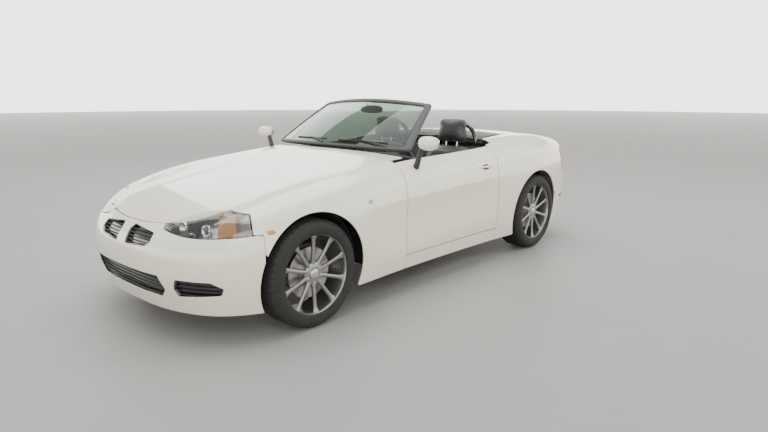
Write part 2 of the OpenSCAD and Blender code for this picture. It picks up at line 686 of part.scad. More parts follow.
// Radius round the hinge axis that the fender's rear edge needs inside the door
door_recess = norm([hinge_ahead - half_gap, hinge_inset - skin]) + 5.4;
module door_left() {
    us = steps(door_rear + half_gap, door_front - half_gap, 13);
    vs = concat(steps(door_bottom - hip_height, 0, 5), steps(4, 16, 3));
    function inner(u) = plan_width(u) - door_thickness;
    // The inner side stops a little short at the rear, because it swings backwards first
    function back_off(u) = 3*(door_front - u)/(door_front - door_rear);
    function crown(u, f) =
        top_point(u + f*back_off(u), lerp(side_point(u, 16, 0)[1], inner(u) + 12, f), 0);
    outer = concat([for (v = vs) [for (u = us) side_point(u, v, 0)]],
                   [for (f = [1/4, 1/2, 3/4, 1]) [for (u = us) crown(u, f)]]);
    top = [for (u = us) surface_z(u, inner(u)) - 14];
    n = len(outer) - 1;
    function inner_z(i, j) =
        lerp(door_bottom, top[j], (outer[i][j][2] - door_bottom)/(outer[n][j][2] - door_bottom));
    color(body_white) {
        difference() {
            shell(outer, [for (i = [0:n]) [for (j = [0:len(us) - 1])
                [us[j] + back_off(us[j]), inner(us[j]), inner_z(i, j)]]]);
            translate([hinge_x, hinge_y, 0]) cylinder(h = 1200, r = door_recess, $fn = 96);
        }
        for (z = hinge_heights) {
            translate([hinge_x, hinge_y, z - 17]) hinge_arm();
        }
    }
}
module hinge_arm() {
    difference() {
        union() {
            cylinder(h = 34, r = 13);
            linear_extrude(34) polygon([
                [6, -9], [-16, -46], [-34, -82], [-hinge_ahead - 12, -82], [-hinge_ahead - 12, -68],
                [-60, -70], [-44, -66], [-30, -40], [-9, 6]]);
        }
        translate([0, 0, -1]) cylinder(h = 36, r = 6.1);
    }
}
module door_mirror_left() {
    x = door_front - 150;
    y = plan_width(x);
    foot = y - 75;
    color(body_white) {
        hull() {
            translate([x, y + 5, 1005]) sphere(r = 54, $fn = 24);
            translate([x - 8, y + 55, 1000]) sphere(r = 49, $fn = 24);
        }
        tube_between([x, foot, surface_z(x, foot) + 12], [x, y, 1000], 13);
    }
}

// ---- Wheels ----
module wheel_at(axle_x, track) {
    translate([axle_x, track/2, tyre_radius]) across() children();
}
module tyre() {
    w = tyre_width/2;
    bead = rim_radius + 12;
    color("#1C1C1E") rotate_extrude($fn = 96) polygon([
        [bead, -w + 9], [bead + 12, -w + 2], [bead + 40, -w], [tyre_radius - 22, -w + 3],
        [tyre_radius - 9, -w + 13], [tyre_radius - 2, -w + 34], [tyre_radius, -w + 70],
        [tyre_radius, w - 70], [tyre_radius - 2, w - 34], [tyre_radius - 9, w - 13],
        [tyre_radius - 22, w - 3], [bead + 40, w], [bead + 12, w - 2], [bead, w - 9]]);
}
module rim() {
    w = tyre_width/2 - 9;
    r = rim_radius + 11.5;
    color(alloy) {
        rotate_extrude($fn = 96) polygon([
            [r, -w], [r, -w + 6], [r - 15, -w + 12], [r - 22, -w + 44], [r - 22, w - 64], [r - 15, w - 12],
            [r, w - 6], [r, w], [r - 12, w], [r - 23, w - 16], [r - 30, w - 64], [r - 30, -w + 44],
            [r - 23, -w + 12], [r - 12, -w]]);
        translate([0, 0, w - 50]) linear_extrude(30) {
            circle(r = 70);
            for (i = [0:spoke_count - 1]) {
                rotate(i*360/spoke_count) translate([0, -spoke_width/2]) square([r - 26, spoke_width]);
            }
        }
    }
}
module brake_disc() {
    w = tyre_width/2 - 9;
    color(steel) {
        translate([0, 0, 10]) cylinder(h = 22, r = disc_radius, $fn = 64);
        translate([0, 0, 31]) cylinder(h = w - 50.5 - 31, r = 78);
    }
}
module knuckle_left() {
    color(steel) {
        translate([front_axle_x, front_pivot_y - 18, tyre_radius]) across()
            cylinder(h = front_track/2 + 4 - front_pivot_y + 18, r = 48);
        translate([front_axle_x, front_pivot_y, 190]) cylinder(h = 190, r = 17);
        box_between([front_axle_x + 60, front_pivot_y - 8, tyre_radius - 70],
                    [front_axle_x + 125, front_pivot_y + 30, tyre_radius + 70]);
        box_between([front_axle_x + 20, front_pivot_y - 8, tyre_radius - 20],
                    [front_axle_x + 62, front_pivot_y + 8, tyre_radius + 20]);
    }
}

floor_pan();
front_bulkhead();
rear_bulkhead();
sills();
front_subframe();
rear_axle();
engine_block();
radiator();
exhaust();
arch_liners();
front_bumper();
front_grilles();
headlights();
front_fender_left();
mirror([0, 1, 0]) front_fender_left();  // front_fender_right
rear_quarter_left();
mirror([0, 1, 0]) rear_quarter_left();  // rear_quarter_right
rear_bumper();
tail_lights();
plate_carrier();
cowl_panel();
windscreen_frame();
windscreen_glass();
wipers();
dashboard();
centre_console();
steering_column();
translate([0, seat_offset, 0]) seat();  // seat_left
translate([0, -seat_offset, 0]) seat();  // seat_right
roll_hoops();
soft_top();
boot_tub();
bonnet();
boot_lid();
door_left();
mirror([0, 1, 0]) door_left();  // door_right
door_mirror_left();
mirror([0, 1, 0]) door_mirror_left();  // door_mirror_right
steering_wheel();
knuckle_left();
mirror([0, 1, 0]) knuckle_left();  // knuckle_right
wheel_at(front_axle_x, front_track) tyre();  // tyre_front_left
mirror([0, 1, 0]) wheel_at(front_axle_x, front_track) tyre();  // tyre_front_right
wheel_at(rear_axle_x, rear_track) tyre();  // tyre_rear_left
mirror([0, 1, 0]) wheel_at(rear_axle_x, rear_track) tyre();  // tyre_rear_right
wheel_at(front_axle_x, front_track) rim();  // rim_front_left
mirror([0, 1, 0]) wheel_at(front_axle_x, front_track) rim();  // rim_front_right
wheel_at(rear_axle_x, rear_track) rim();  // rim_rear_left
mirror([0, 1, 0]) wheel_at(rear_axle_x, rear_track) rim();  // rim_rear_right
wheel_at(front_axle_x, front_track) brake_disc();  // disc_front_left
mirror([0, 1, 0]) wheel_at(front_axle_x, front_track) brake_disc();  // disc_front_right
wheel_at(rear_axle_x, rear_track) brake_disc();  // disc_rear_left
mirror([0, 1, 0]) wheel_at(rear_axle_x, rear_track) brake_disc();  // disc_rear_right
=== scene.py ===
"""Open two-seat roadster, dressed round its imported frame: panels, lamps, cabin, wheels and studio."""

import logging
import math
from dataclasses import dataclass, field
from enum import Enum
from typing import Callable, Iterable, Optional, Sequence

import bmesh
import bpy
import numpy as np
from mathutils import Matrix, Vector
from mathutils.bvhtree import BVHTree


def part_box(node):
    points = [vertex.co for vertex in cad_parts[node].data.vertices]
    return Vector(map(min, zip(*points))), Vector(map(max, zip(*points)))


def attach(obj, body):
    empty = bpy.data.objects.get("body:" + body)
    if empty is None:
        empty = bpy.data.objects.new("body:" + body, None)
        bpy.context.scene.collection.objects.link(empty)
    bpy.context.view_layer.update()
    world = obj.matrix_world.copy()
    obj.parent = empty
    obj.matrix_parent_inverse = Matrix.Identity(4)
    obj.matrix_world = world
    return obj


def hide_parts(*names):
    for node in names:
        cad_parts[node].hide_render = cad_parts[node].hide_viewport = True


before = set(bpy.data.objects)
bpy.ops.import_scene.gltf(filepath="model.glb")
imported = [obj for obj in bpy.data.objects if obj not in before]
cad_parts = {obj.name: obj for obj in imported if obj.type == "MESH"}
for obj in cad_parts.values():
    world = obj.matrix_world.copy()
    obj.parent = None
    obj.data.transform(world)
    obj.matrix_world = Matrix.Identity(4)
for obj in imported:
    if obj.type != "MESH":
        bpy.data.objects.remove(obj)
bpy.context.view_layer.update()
MM = 0.001
SEAT_Y = 365.0
LONGEST_RAY = 2600.0
HALVINGS = 23
CUT_HALVINGS = 12
WELD = 0.7
SLIVER = 0.3
ROLL_ANGLES = (30, 60, 90)
SWELL_FRAMES = 20
log = logging.getLogger("roadster")
Point = Sequence[float]
Measure = Callable[[np.ndarray], np.ndarray]
Socket = bpy.types.NodeSocket
Piece = bpy.types.Object


class Side(Enum):
    """Which side of the car a piece is on, as the sign of Y."""

    LEFT = 1
    RIGHT = -1

    @property
    def word(self) -> str:
        """The side as it is written in a node's name."""
        return self.name.lower()


class End(Enum):
    """Which end of the car a piece is at, as the sign of X."""

    FRONT = 1
    REAR = -1

    @property
    def word(self) -> str:
        """The end as it is written in a node's name."""
        return self.name.lower()


# ---- finishes


class Shader:
    """Adds nodes to one new material."""

    def __init__(self, name: str, **sockets: object) -> None:
        """Makes the material.

        Args:
            name: The material's name.
            sockets: Values for the surface shader, with _ for spaces.
        """
        self.material = bpy.data.materials.new(name)
        self.material.use_nodes = True
        self.tree = self.material.node_tree
        self.surface = self.tree.nodes["Principled BSDF"]
        for key, value in sockets.items():
            self.surface.inputs[key.replace("_", " ")].default_value = value
        where = self.tree.nodes.new("ShaderNodeTexCoord")
        self.place = where.outputs["Object"]

    def add(self, kind: str, inputs: dict, **settings: object) -> bpy.types.Node:
        """Adds one node.

        Args:
            kind: The node's type, without its ShaderNode prefix.
            inputs: Values or output sockets for its inputs.
            settings: The node's own properties.

        Returns:
            The new node.
        """
        node = self.tree.nodes.new("ShaderNode" + kind)
        for key, value in settings.items():
            setattr(node, key, value)
        for key, value in inputs.items():
            if isinstance(value, Socket):
                self.tree.links.new(value, node.inputs[key])
            else:
                node.inputs[key].default_value = value
        return node

    def stretched(self, scale: Point) -> Socket:
        """The place on the piece, scaled along each axis."""
        return self.add("Mapping", {"Vector": self.place, "Scale": tuple(scale)}).outputs[0]

    def noise(self, scale: float, detail: float = 3.0, at: Optional[Socket] = None) -> Socket:
        """A soft random pattern."""
        inputs = {"Vector": at or self.place, "Scale": scale, "Detail": detail}
        return self.add("TexNoise", inputs).outputs[0]

    def cells(self, scale: float) -> Socket:
        """A pattern of rounded cells, as in leather or a moulded grain."""
        return self.add("TexVoronoi", {"Vector": self.place, "Scale": scale}).outputs["Distance"]

    def waves(self, scale: float, along: str) -> Socket:
        """Even ribs along one axis."""
        bands = self.add("TexWave", {"Vector": self.place, "Scale": scale}, bands_direction=along)
        return bands.outputs[1]

    def math(self, what: str, a: object, b: object) -> Socket:
        """One sum on two values."""
        return self.add("Math", {0: a, 1: b}, operation=what).outputs[0]

    def spread(self, value: Socket, low: float, high: float) -> Socket:
        """Maps a value from 0..1 to low..high."""
        return self.add("MapRange", {0: value, 3: low, 4: high}).outputs[0]

    def height(self, low: float, high: float) -> Socket:
        """One where the surface is at or under low, and nothing where it is over high."""
        where = self.add("SeparateXYZ", {0: self.add("NewGeometry", {}).outputs["Position"]}).outputs[2]
        return self.add("MapRange", {0: where, 1: low, 2: high, 3: 1.0, 4: 0.0}).outputs[0]

    def colours(self, value: Socket, first: Point, second: Point) -> None:
        """Blends the surface's colour between two."""
        mix = self.add("Mix", {0: value, 6: (*first, 1), 7: (*second, 1)}, data_type="RGBA")
        self.tree.links.new(mix.outputs[2], self.surface.inputs["Base Color"])

    def rough(self, value: Socket, low: float, high: float) -> None:
        """Varies the roughness."""
        self.tree.links.new(self.spread(value, low, high), self.surface.inputs["Roughness"])

    def bump(self, heights: Sequence[tuple[Socket, float]], depth: float) -> None:
        """Raises a relief from one or more patterns.

        Args:
            heights: Pairs of a pattern and its strength.
            depth: Depth of the relief in metres.
        """
        normal = None
        for pattern, strength in heights:
            inputs = {"Height": pattern, "Strength": strength, "Distance": depth}
            if normal is not None:
                inputs["Normal"] = normal
            normal = self.add("Bump", inputs).outputs[0]
        self.tree.links.new(normal, self.surface.inputs["Normal"])


@dataclass(frozen=True)
class Paint:
    """Gloss coachwork paint under clear lacquer, darker and greyer in patches towards the bottom."""

    name: str = "warm_white_paint"
    colour: Point = (0.77, 0.74, 0.61)
    # Darker, greyer colour that the paint is blended towards low on the body.
    dust: Point = (0.56, 0.54, 0.48)

    def make(self) -> bpy.types.Material:
        """Builds the material.

        Returns:
            The material.
        """
        s = Shader(self.name, Roughness=0.3, Coat_Weight=1.0, Coat_Roughness=0.04, Coat_IOR=1.5)
        # Darkens the paint in patches below about 0.42 m, most at and under 0.16 m.
        low = s.math("MULTIPLY", s.height(0.16, 0.42), s.spread(s.noise(9.0, 6.0), 0.1, 0.8))
        s.colours(s.math("ADD", low, s.spread(s.noise(2.2, 4.0), -0.02, 0.07)), self.colour, self.dust)
        s.rough(s.noise(14.0, 5.0), 0.26, 0.36)
        s.bump([(s.noise(420.0, 2.0), 0.05), (s.noise(2600.0, 1.0), 0.04)], 0.0006)
        return s.material


@dataclass(frozen=True)
class Moulding:
    """Moulded plastic or rubber with a fine grain."""

    name: str
    colour: Point
    second: Point
    roughness: tuple[float, float] = (0.45, 0.62)
    grain: float = 900.0
    relief: float = 0.35
    coat: float = 0.0

    def make(self) -> bpy.types.Material:
        """Builds the material.

        Returns:
            The material.
        """
        s = Shader(self.name, Coat_Weight=self.coat, Coat_Roughness=0.06)
        s.colours(s.noise(24.0, 6.0), self.colour, self.second)
        s.rough(s.noise(60.0, 4.0), *self.roughness)
        s.bump([(s.cells(self.grain), self.relief),
                (s.noise(self.grain * 2.3, 2.0), self.relief * 0.5)], 0.0005)
        return s.material


@dataclass(frozen=True)
class Hide:
    """Grained leather with soft creases and a sheen."""

    name: str
    colour: Point
    worn: Point

    def make(self) -> bpy.types.Material:
        """Builds the material.

        Returns:
            The material.
        """
        s = Shader(self.name, Sheen_Weight=0.15, Sheen_Roughness=0.4, Coat_Weight=0.12, Coat_Roughness=0.3)
        s.colours(s.noise(11.0, 7.0), self.colour, self.worn)
        s.rough(s.noise(34.0, 5.0), 0.36, 0.58)
        wrinkles = s.noise(26.0, 6.0, s.stretched((1.0, 2.6, 1.4)))
        s.bump([(s.cells(520.0), 0.5), (s.cells(1300.0), 0.3), (wrinkles, 0.5)], 0.0011)
        return s.material


@dataclass(frozen=True)
class Cloth:
    """Woven or tufted cloth: canvas, carpet or webbing."""

    name: str
    colour: Point
    second: Point
    threads: float = 420.0
    relief: float = 0.7
    tufted: bool = False

    def make(self) -> bpy.types.Material:
        """Builds the material.

        Returns:
            The material.
        """
        s = Shader(self.name, Sheen_Weight=0.35, Sheen_Roughness=0.6)
        s.rough(s.noise(70.0, 4.0), 0.82, 0.96)
        if self.tufted:
            weave = s.noise(1500.0, 4.0)
            s.colours(s.noise(180.0, 8.0), self.colour, self.second)
        else:
            across = s.waves(self.threads, "X")
            weave = s.math("MAXIMUM", across, s.waves(self.threads, "Y"))
            s.colours(s.math("MULTIPLY", weave, s.noise(16.0, 6.0)), self.colour, self.second)
        s.bump([(weave, self.relief), (s.noise(38.0, 5.0), 0.35)], 0.0009)
        return s.material


@dataclass(frozen=True)
class Metal:
    """Bare, cast, lacquered, brushed or plated metal."""

    name: str
    colour: Point
    second: Point
    roughness: tuple[float, float]
    brushed: Optional[Point] = None
    relief: float = 0.2
    coat: float = 0.0
    metallic: float = 1.0

    def make(self) -> bpy.types.Material:
        """Builds the material.

        Returns:
            The material.
        """
        s = Shader(self.name, Metallic=self.metallic, Coat_Weight=self.coat, Coat_Roughness=0.05)
        s.colours(s.noise(18.0, 6.0), self.colour, self.second)
        fine = s.noise(300.0, 4.0, s.stretched(self.brushed) if self.brushed else None)
        s.rough(fine, *self.roughness)
        s.bump([(fine, self.relief)], 0.0005)
        return s.material


@dataclass(frozen=True)
class Pane:
    """Glass or a clear, tinted or coloured lens."""

    name: str
    colour: Point
    roughness: float = 0.01
    clear: float = 1.0
    ribs: float = 0.0
    index: float = 1.45
    shine: float = 0.5

    def make(self) -> bpy.types.Material:
        """Builds the material.

        Returns:
            The material.
        """
        s = Shader(self.name, Transmission_Weight=self.clear, IOR=self.index, Specular_IOR_Level=self.shine)
        shade = tuple(c * 0.93 for c in self.colour)
        s.colours(s.noise(3.0, 2.0), self.colour, shade)
        s.rough(s.noise(40.0, 3.0), self.roughness, self.roughness + 0.02)
        if self.ribs:
            s.bump([(s.waves(self.ribs, "Y"), 0.35), (s.waves(self.ribs, "Z"), 0.35)], 0.001)
        else:
            s.bump([(s.noise(12.0, 1.0), 0.01)], 0.0004)
        return s.material


SOFT_BLACK = (0.024, 0.024, 0.025)
FINISHES = {
    "paint": Paint(),
    "gloss": Moulding(
        "gloss_black", (0.01, 0.01, 0.011), (0.016, 0.016, 0.017), (0.08, 0.16), 700.0, 0.04, 0.8),
    "plastic": Moulding("grained_plastic", SOFT_BLACK, (0.036, 0.036, 0.037)),
    "cabin": Moulding("dash_skin", (0.02, 0.02, 0.021), (0.03, 0.03, 0.03), (0.55, 0.72), 620.0, 0.6),
    "rubber": Moulding("seal_rubber", (0.01, 0.01, 0.01), (0.02, 0.02, 0.02), (0.6, 0.8), 1500.0, 0.2),
    "tyre": Moulding("tyre_rubber", (0.008, 0.008, 0.008), (0.018, 0.0175, 0.016), (0.68, 0.9), 800.0, 0.3),
    "coating": Moulding(
        "underbody_coating", (0.018, 0.018, 0.019), (0.04, 0.038, 0.036), (0.6, 0.85), 160, 0.9),
    "leather": Hide("black_leather", (0.02, 0.019, 0.02), (0.04, 0.038, 0.038)),
    "thread": Cloth("seam_thread", (0.05, 0.05, 0.05), (0.1, 0.1, 0.1), 900.0, 0.5),
    "canvas": Cloth("black_canvas", (0.01, 0.01, 0.011), (0.035, 0.035, 0.037), 300.0),
    "carpet": Cloth("black_carpet", (0.01, 0.01, 0.01), (0.045, 0.045, 0.047), relief=1.0, tufted=True),
    "webbing": Cloth("belt_webbing", (0.012, 0.012, 0.013), (0.04, 0.04, 0.042), 800.0, 0.9),
    "alloy": Metal(
        "silver_alloy", (0.27, 0.27, 0.26), (0.22, 0.22, 0.21), (0.28, 0.4), coat=0.6, metallic=0.85),
    "cast": Metal("cast_alloy", (0.34, 0.34, 0.35), (0.22, 0.22, 0.22), (0.45, 0.65), relief=0.8),
    "exhaust": Metal("exhaust_steel", (0.42, 0.4, 0.37), (0.25, 0.22, 0.19), (0.25, 0.5), (1, 18, 18)),
    "disc": Metal("turned_iron", (0.46, 0.45, 0.44), (0.3, 0.28, 0.26), (0.25, 0.45), (30, 1, 30), 0.35),
    "chrome": Metal("bright_metal", (0.86, 0.86, 0.87), (0.8, 0.8, 0.82), (0.05, 0.12), relief=0.03),
    "satin": Metal("satin_metal", (0.55, 0.55, 0.56), (0.48, 0.48, 0.49), (0.28, 0.4), (1, 30, 1)),
    "mirror": Metal("mirror_glass", (0.86, 0.9, 0.92), (0.84, 0.88, 0.9), (0.01, 0.02), relief=0.0),
    "screen": Pane("green_tinted_glass", (0.2, 0.3, 0.23), index=1.3, shine=0.2),
    "clear": Pane("clear_lens", (0.95, 0.96, 0.96)),
    "bulb": Pane("projector_lens", (0.86, 0.9, 0.95), index=1.5),
    "amber": Pane("amber_lens", (0.95, 0.5, 0.16), 0.08, 0.6, 300.0),
    "red": Pane("red_lens", (0.62, 0.015, 0.012), 0.06, 0.45, 240.0),
    "white_lens": Pane("reversing_lens", (0.85, 0.86, 0.86), 0.15, 0.6, 300.0),
    "teal": Pane("side_flasher_lens", (0.5, 0.66, 0.68), 0.05, 0.6, 300.0),
    "dial": Moulding("dial_face", (0.03, 0.03, 0.032), (0.05, 0.05, 0.05), (0.3, 0.4), 1200.0, 0.05),
    "marks": Moulding("dial_marks", (0.7, 0.7, 0.68), (0.62, 0.62, 0.6), (0.4, 0.5), 1200.0, 0.05),
    "plate": Moulding("blank_plate", (0.62, 0.63, 0.62), (0.56, 0.57, 0.56), (0.35, 0.5), 500.0, 0.1),
}
made_finishes: dict[str, bpy.types.Material] = {}


def finish_of(name: str) -> bpy.types.Material:
    """One of the finishes, built the first time it is asked for.

    Args:
        name: Its key in FINISHES.

    Returns:
        The material.
    """
    if name not in made_finishes:
        made_finishes[name] = FINISHES[name].make()
    return made_finishes[name]


# ---- meshes


@dataclass
class Shape:
    """Points and faces in millimetres, added to piece by piece."""

    points: list[np.ndarray] = field(default_factory=list)
    faces: list[tuple[int, ...]] = field(default_factory=list)
    count: int = 0

    def add(self, points: Iterable[Point], faces: Iterable[Sequence[int]]) -> "Shape":
        """Adds a part with its own point numbers.

        Args:
            points: Its points.
            faces: Its faces.

        Returns:
            This shape.
        """
        points = np.asarray(points, float).reshape(-1, 3)
        self.points.append(points)
        self.faces += [tuple(int(i) + self.count for i in f) for f in faces]
        self.count += len(points)
        return self

    def loft(self, rings: Sequence[Sequence[Point]], caps: bool = True, round_trip: bool = False) -> "Shape":
        """Joins closed rings of equal length into a skin.

        Args:
            rings: The rings, each a closed line.
            caps: Whether the first and last ring are closed.
            round_trip: Whether the last ring joins the first.

        Returns:
            This shape.
        """
        rings = np.asarray(rings, float)
        m, n = rings.shape[:2]
        faces = []
        for i in range(m if round_trip else m - 1):
            k = (i + 1) % m
            faces += [(i * n + j, i * n + (j + 1) % n, k * n + (j + 1) % n, k * n + j) for j in range(n)]
        if caps and not round_trip:
            faces.append(tuple(range(n))[::-1])
            faces.append(tuple((m - 1) * n + j for j in range(n)))
        return self.add(rings.reshape(-1, 3), faces)

    def turned(self, centre: Point, axis: Point, profile: Sequence[Point], segments: int = 48) -> "Shape":
        """Turns an outline of (radius, height) pairs round an axis.

        Args:
            centre: A point on the axis, where height is nothing.
            axis: The axis's direction.
            profile: Pairs of radius and height.
            segments: Steps round the axis.

        Returns:
            This shape.
        """
        axis = unit(axis)
        first, second = across_of(axis)
        angles = around(segments)
        ways = [first * math.cos(a) + second * math.sin(a) for a in angles]
        return self.loft([[np.asarray(centre) + axis * h + r * way for way in ways] for r, h in profile])

    def tube(self, path: Sequence[Point], radius: object, sides: int = 12, closed: bool = False) -> "Shape":
        """Sweeps a circle along a line.

        Args:
            path: The line's points.
            radius: One radius, or one for each point.
            sides: Sides of the circle.
            closed: Whether the line is a loop.

        Returns:
            This shape.
        """
        path = np.asarray(path, float)
        radii = np.broadcast_to(np.asarray(radius, float), (len(path),))
        before = np.roll(path, 1, 0) if closed else np.vstack([path[:1], path[:-1]])
        after = np.roll(path, -1, 0) if closed else np.vstack([path[1:], path[-1:]])
        tangents = [unit(d) for d in after - before]
        side = across_of(tangents[0])[0]
        rings = []
        for p, t, r in zip(path, tangents, radii):
            side = unit(side - t * float(np.dot(side, t)))
            up = np.cross(t, side)
            turn = around(sides)
            rings.append([p + r * (side * math.cos(a) + up * math.sin(a)) for a in turn])
        return self.loft(rings, round_trip=closed)

    def block(self, low: Point, high: Point, radius: float = 4.0) -> "Shape":
        """A box with rounded edges.

        Args:
            low: Its lowest corner.
            high: Its highest corner.
            radius: Radius of its edges.

        Returns:
            This shape.
        """
        low, high = np.asarray(low, float), np.asarray(high, float)
        bm = bmesh.new()
        bmesh.ops.create_cube(bm, size=1.0)
        for v in bm.verts:
            v.co = Vector((low + high) / 2) + Vector([c * s for c, s in zip(v.co, high - low)])
        bmesh.ops.bevel(bm, geom=list(bm.edges), offset=radius, segments=3, profile=0.5, affect="EDGES")
        bm.verts.index_update()
        self.add([tuple(v.co) for v in bm.verts], [[v.index for v in f.verts] for f in bm.faces])
        bm.free()
        return self

    def moved(self, change: Callable[[np.ndarray], np.ndarray]) -> "Shape":
        """The same shape with its points changed."""
        return Shape().add(change(np.vstack(self.points)), self.faces)

    def mirrored(self, side: Side) -> "Shape":
        """This shape, drawn for the left, on the given side."""
        return self if side is Side.LEFT else self.moved(lambda p: p * [1, -1, 1])


def unit(v: Point) -> np.ndarray:
    """The direction of a vector, with length one."""
    v = np.asarray(v, float)
    return v / max(1e-9, float(np.linalg.norm(v)))


def across_of(axis: Point) -> tuple[np.ndarray, np.ndarray]:
    """Two directions square to an axis and to each other.

    Args:
        axis: The axis.

    Returns:
        The two directions.
    """
    axis = unit(axis)
    start = np.array([0.0, 0.0, 1.0]) if abs(axis[2]) < 0.9 else np.array([1.0, 0.0, 0.0])
    first = unit(np.cross(axis, start))
    return first, np.cross(axis, first)


def span(a: float, b: float, step: float) -> np.ndarray:
    """Even values from a to b, no further apart than step."""
    return np.linspace(a, b, max(2, int(math.ceil(abs(b - a) / step)) + 1))


def around(count: int) -> np.ndarray:
    """Even angles once round, from nothing."""
    return np.linspace(0, 2 * math.pi, count, endpoint=False)


def two_spans(a: float, first: float, b: float, second: float, c: float) -> np.ndarray:
    """Values from a to b and on to c, each part with its own longest step."""
    return np.concatenate([span(a, b, first)[:-1], span(b, c, second)])


def smooth_line(points: Sequence[Point], each: int = 8, closed: bool = False) -> np.ndarray:
    """A smooth line through points.

    Args:
        points: The points that it passes through.
        each: Steps between two of them.
        closed: Whether it is a loop.

    Returns:
        The line's points.
    """
    p = np.asarray(points, float)
    n = len(p)
    out = []
    for i in range(n if closed else n - 1):
        a, b = p[(i - 1) % n if closed else max(0, i - 1)], p[i]
        c, d = p[(i + 1) % n], p[(i + 2) % n if closed else min(n - 1, i + 2)]
        for t in np.linspace(0, 1, each, endpoint=False):
            cubic = (3 * b - a - 3 * c + d) * t**3
            out.append(0.5 * (2 * b + (c - a) * t + (2 * a - 5 * b + 4 * c - d) * t * t + cubic))
    if not closed:
        out.append(p[-1])
    return np.array(out)


@dataclass(frozen=True)
class Rider:
    """Says what a piece rides on, which finish it has and which nodes it stands for."""

    finish: str
    stands_for: tuple[str, ...] = ()
    body: str = "root"
    slot: str = ""

    def place(self, name: str, shape: Shape, crease: float = 38.0) -> Piece:
        """Makes a piece from a shape.

        Args:
            name: The piece's name.
            shape: The shape in millimetres.
            crease: Edges sharper than this many degrees stay sharp.

        Returns:
            The new object.
        """
        mesh = bpy.data.meshes.new(name)
        mesh.from_pydata((np.vstack(shape.points) * MM).tolist(), [], shape.faces)
        bm = bmesh.new()
        bm.from_mesh(mesh)
        bmesh.ops.recalc_face_normals(bm, faces=bm.faces)
        bm.to_mesh(mesh)
        bm.free()
        mesh.shade_smooth()
        mesh.set_sharp_from_angle(angle=math.radians(crease))
        return self.dress(bpy.data.objects.new(name, mesh))

    def dress(self, piece: Piece) -> Piece:
        """Links, paints and seats a piece.

        Args:
            piece: A new object in the shared frame.

        Returns:
            The same object.
        """
        bpy.context.scene.collection.objects.link(piece)
        piece.data.materials.clear()
        piece.data.materials.append(finish_of(self.finish))
        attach(piece, self.body)
        if self.stands_for:
            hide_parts(*self.stands_for)
        log.info("%s: %d faces on %s", piece.name, len(piece.data.polygons), self.body)
        return piece


# ---- body surface


def smax(a: np.ndarray, b: np.ndarray, k: float) -> np.ndarray:
    """The greater of two values, rounded where they are within k of each other."""
    h = np.maximum(k - np.abs(a - b), 0)
    return np.maximum(a, b) + h * h / (4 * k)


def ramp(x: np.ndarray, a: float, b: float) -> np.ndarray:
    """A smooth step from 0 at a to 1 at b."""
    f = np.clip((x - a) / (b - a), 0, 1)
    return f * f * (3 - 2 * f)


def bell(d: np.ndarray, w: float) -> np.ndarray:
    """A rounded bump of half width w."""
    return np.exp(-d * d / (w * w))


def curve(table: Sequence[float], u: np.ndarray) -> np.ndarray:
    """A smooth curve near evenly spaced values.

    Args:
        table: The values.
        u: Places along the table.

    Returns:
        The curve at each place.
    """
    t = np.asarray(table, float)
    n = len(t)
    c = np.clip(u, 0, n - 1.001)
    i = np.floor(c).astype(int)
    f = c - i
    a, b = t[np.maximum(0, i - 1)], t[i]
    d, e = t[np.minimum(n - 1, i + 1)], t[np.minimum(n - 1, i + 2)]
    near = a * (1 - f) ** 3 + b * (3 * f**3 - 6 * f * f + 4)
    return (near + d * (-3 * f**3 + 3 * f * f + 3 * f + 1) + e * f**3) / 6


def inside_of(outline: Sequence[Point], flat: np.ndarray) -> np.ndarray:
    """Distance from a closed outline, less than nothing inside it.

    Args:
        outline: Its corners as pairs.
        flat: Points as pairs.

    Returns:
        One distance for each point.
    """
    line = np.asarray(outline, float)
    best = np.full(len(flat), 1e9)
    odd = np.zeros(len(flat), bool)
    for a, b in zip(line, np.roll(line, -1, 0)):
        d = b - a
        t = np.clip(((flat - a) @ d) / max(1e-9, float(d @ d)), 0, 1)
        best = np.minimum(best, np.hypot(*(flat - a - t[:, None] * d).T))
        crosses = (a[1] > flat[:, 1]) != (b[1] > flat[:, 1])
        if abs(d[1]) > 1e-9:
            odd ^= crosses & (flat[:, 0] < a[0] + (flat[:, 1] - a[1]) * d[0] / d[1])
    return np.where(odd, -best, best)


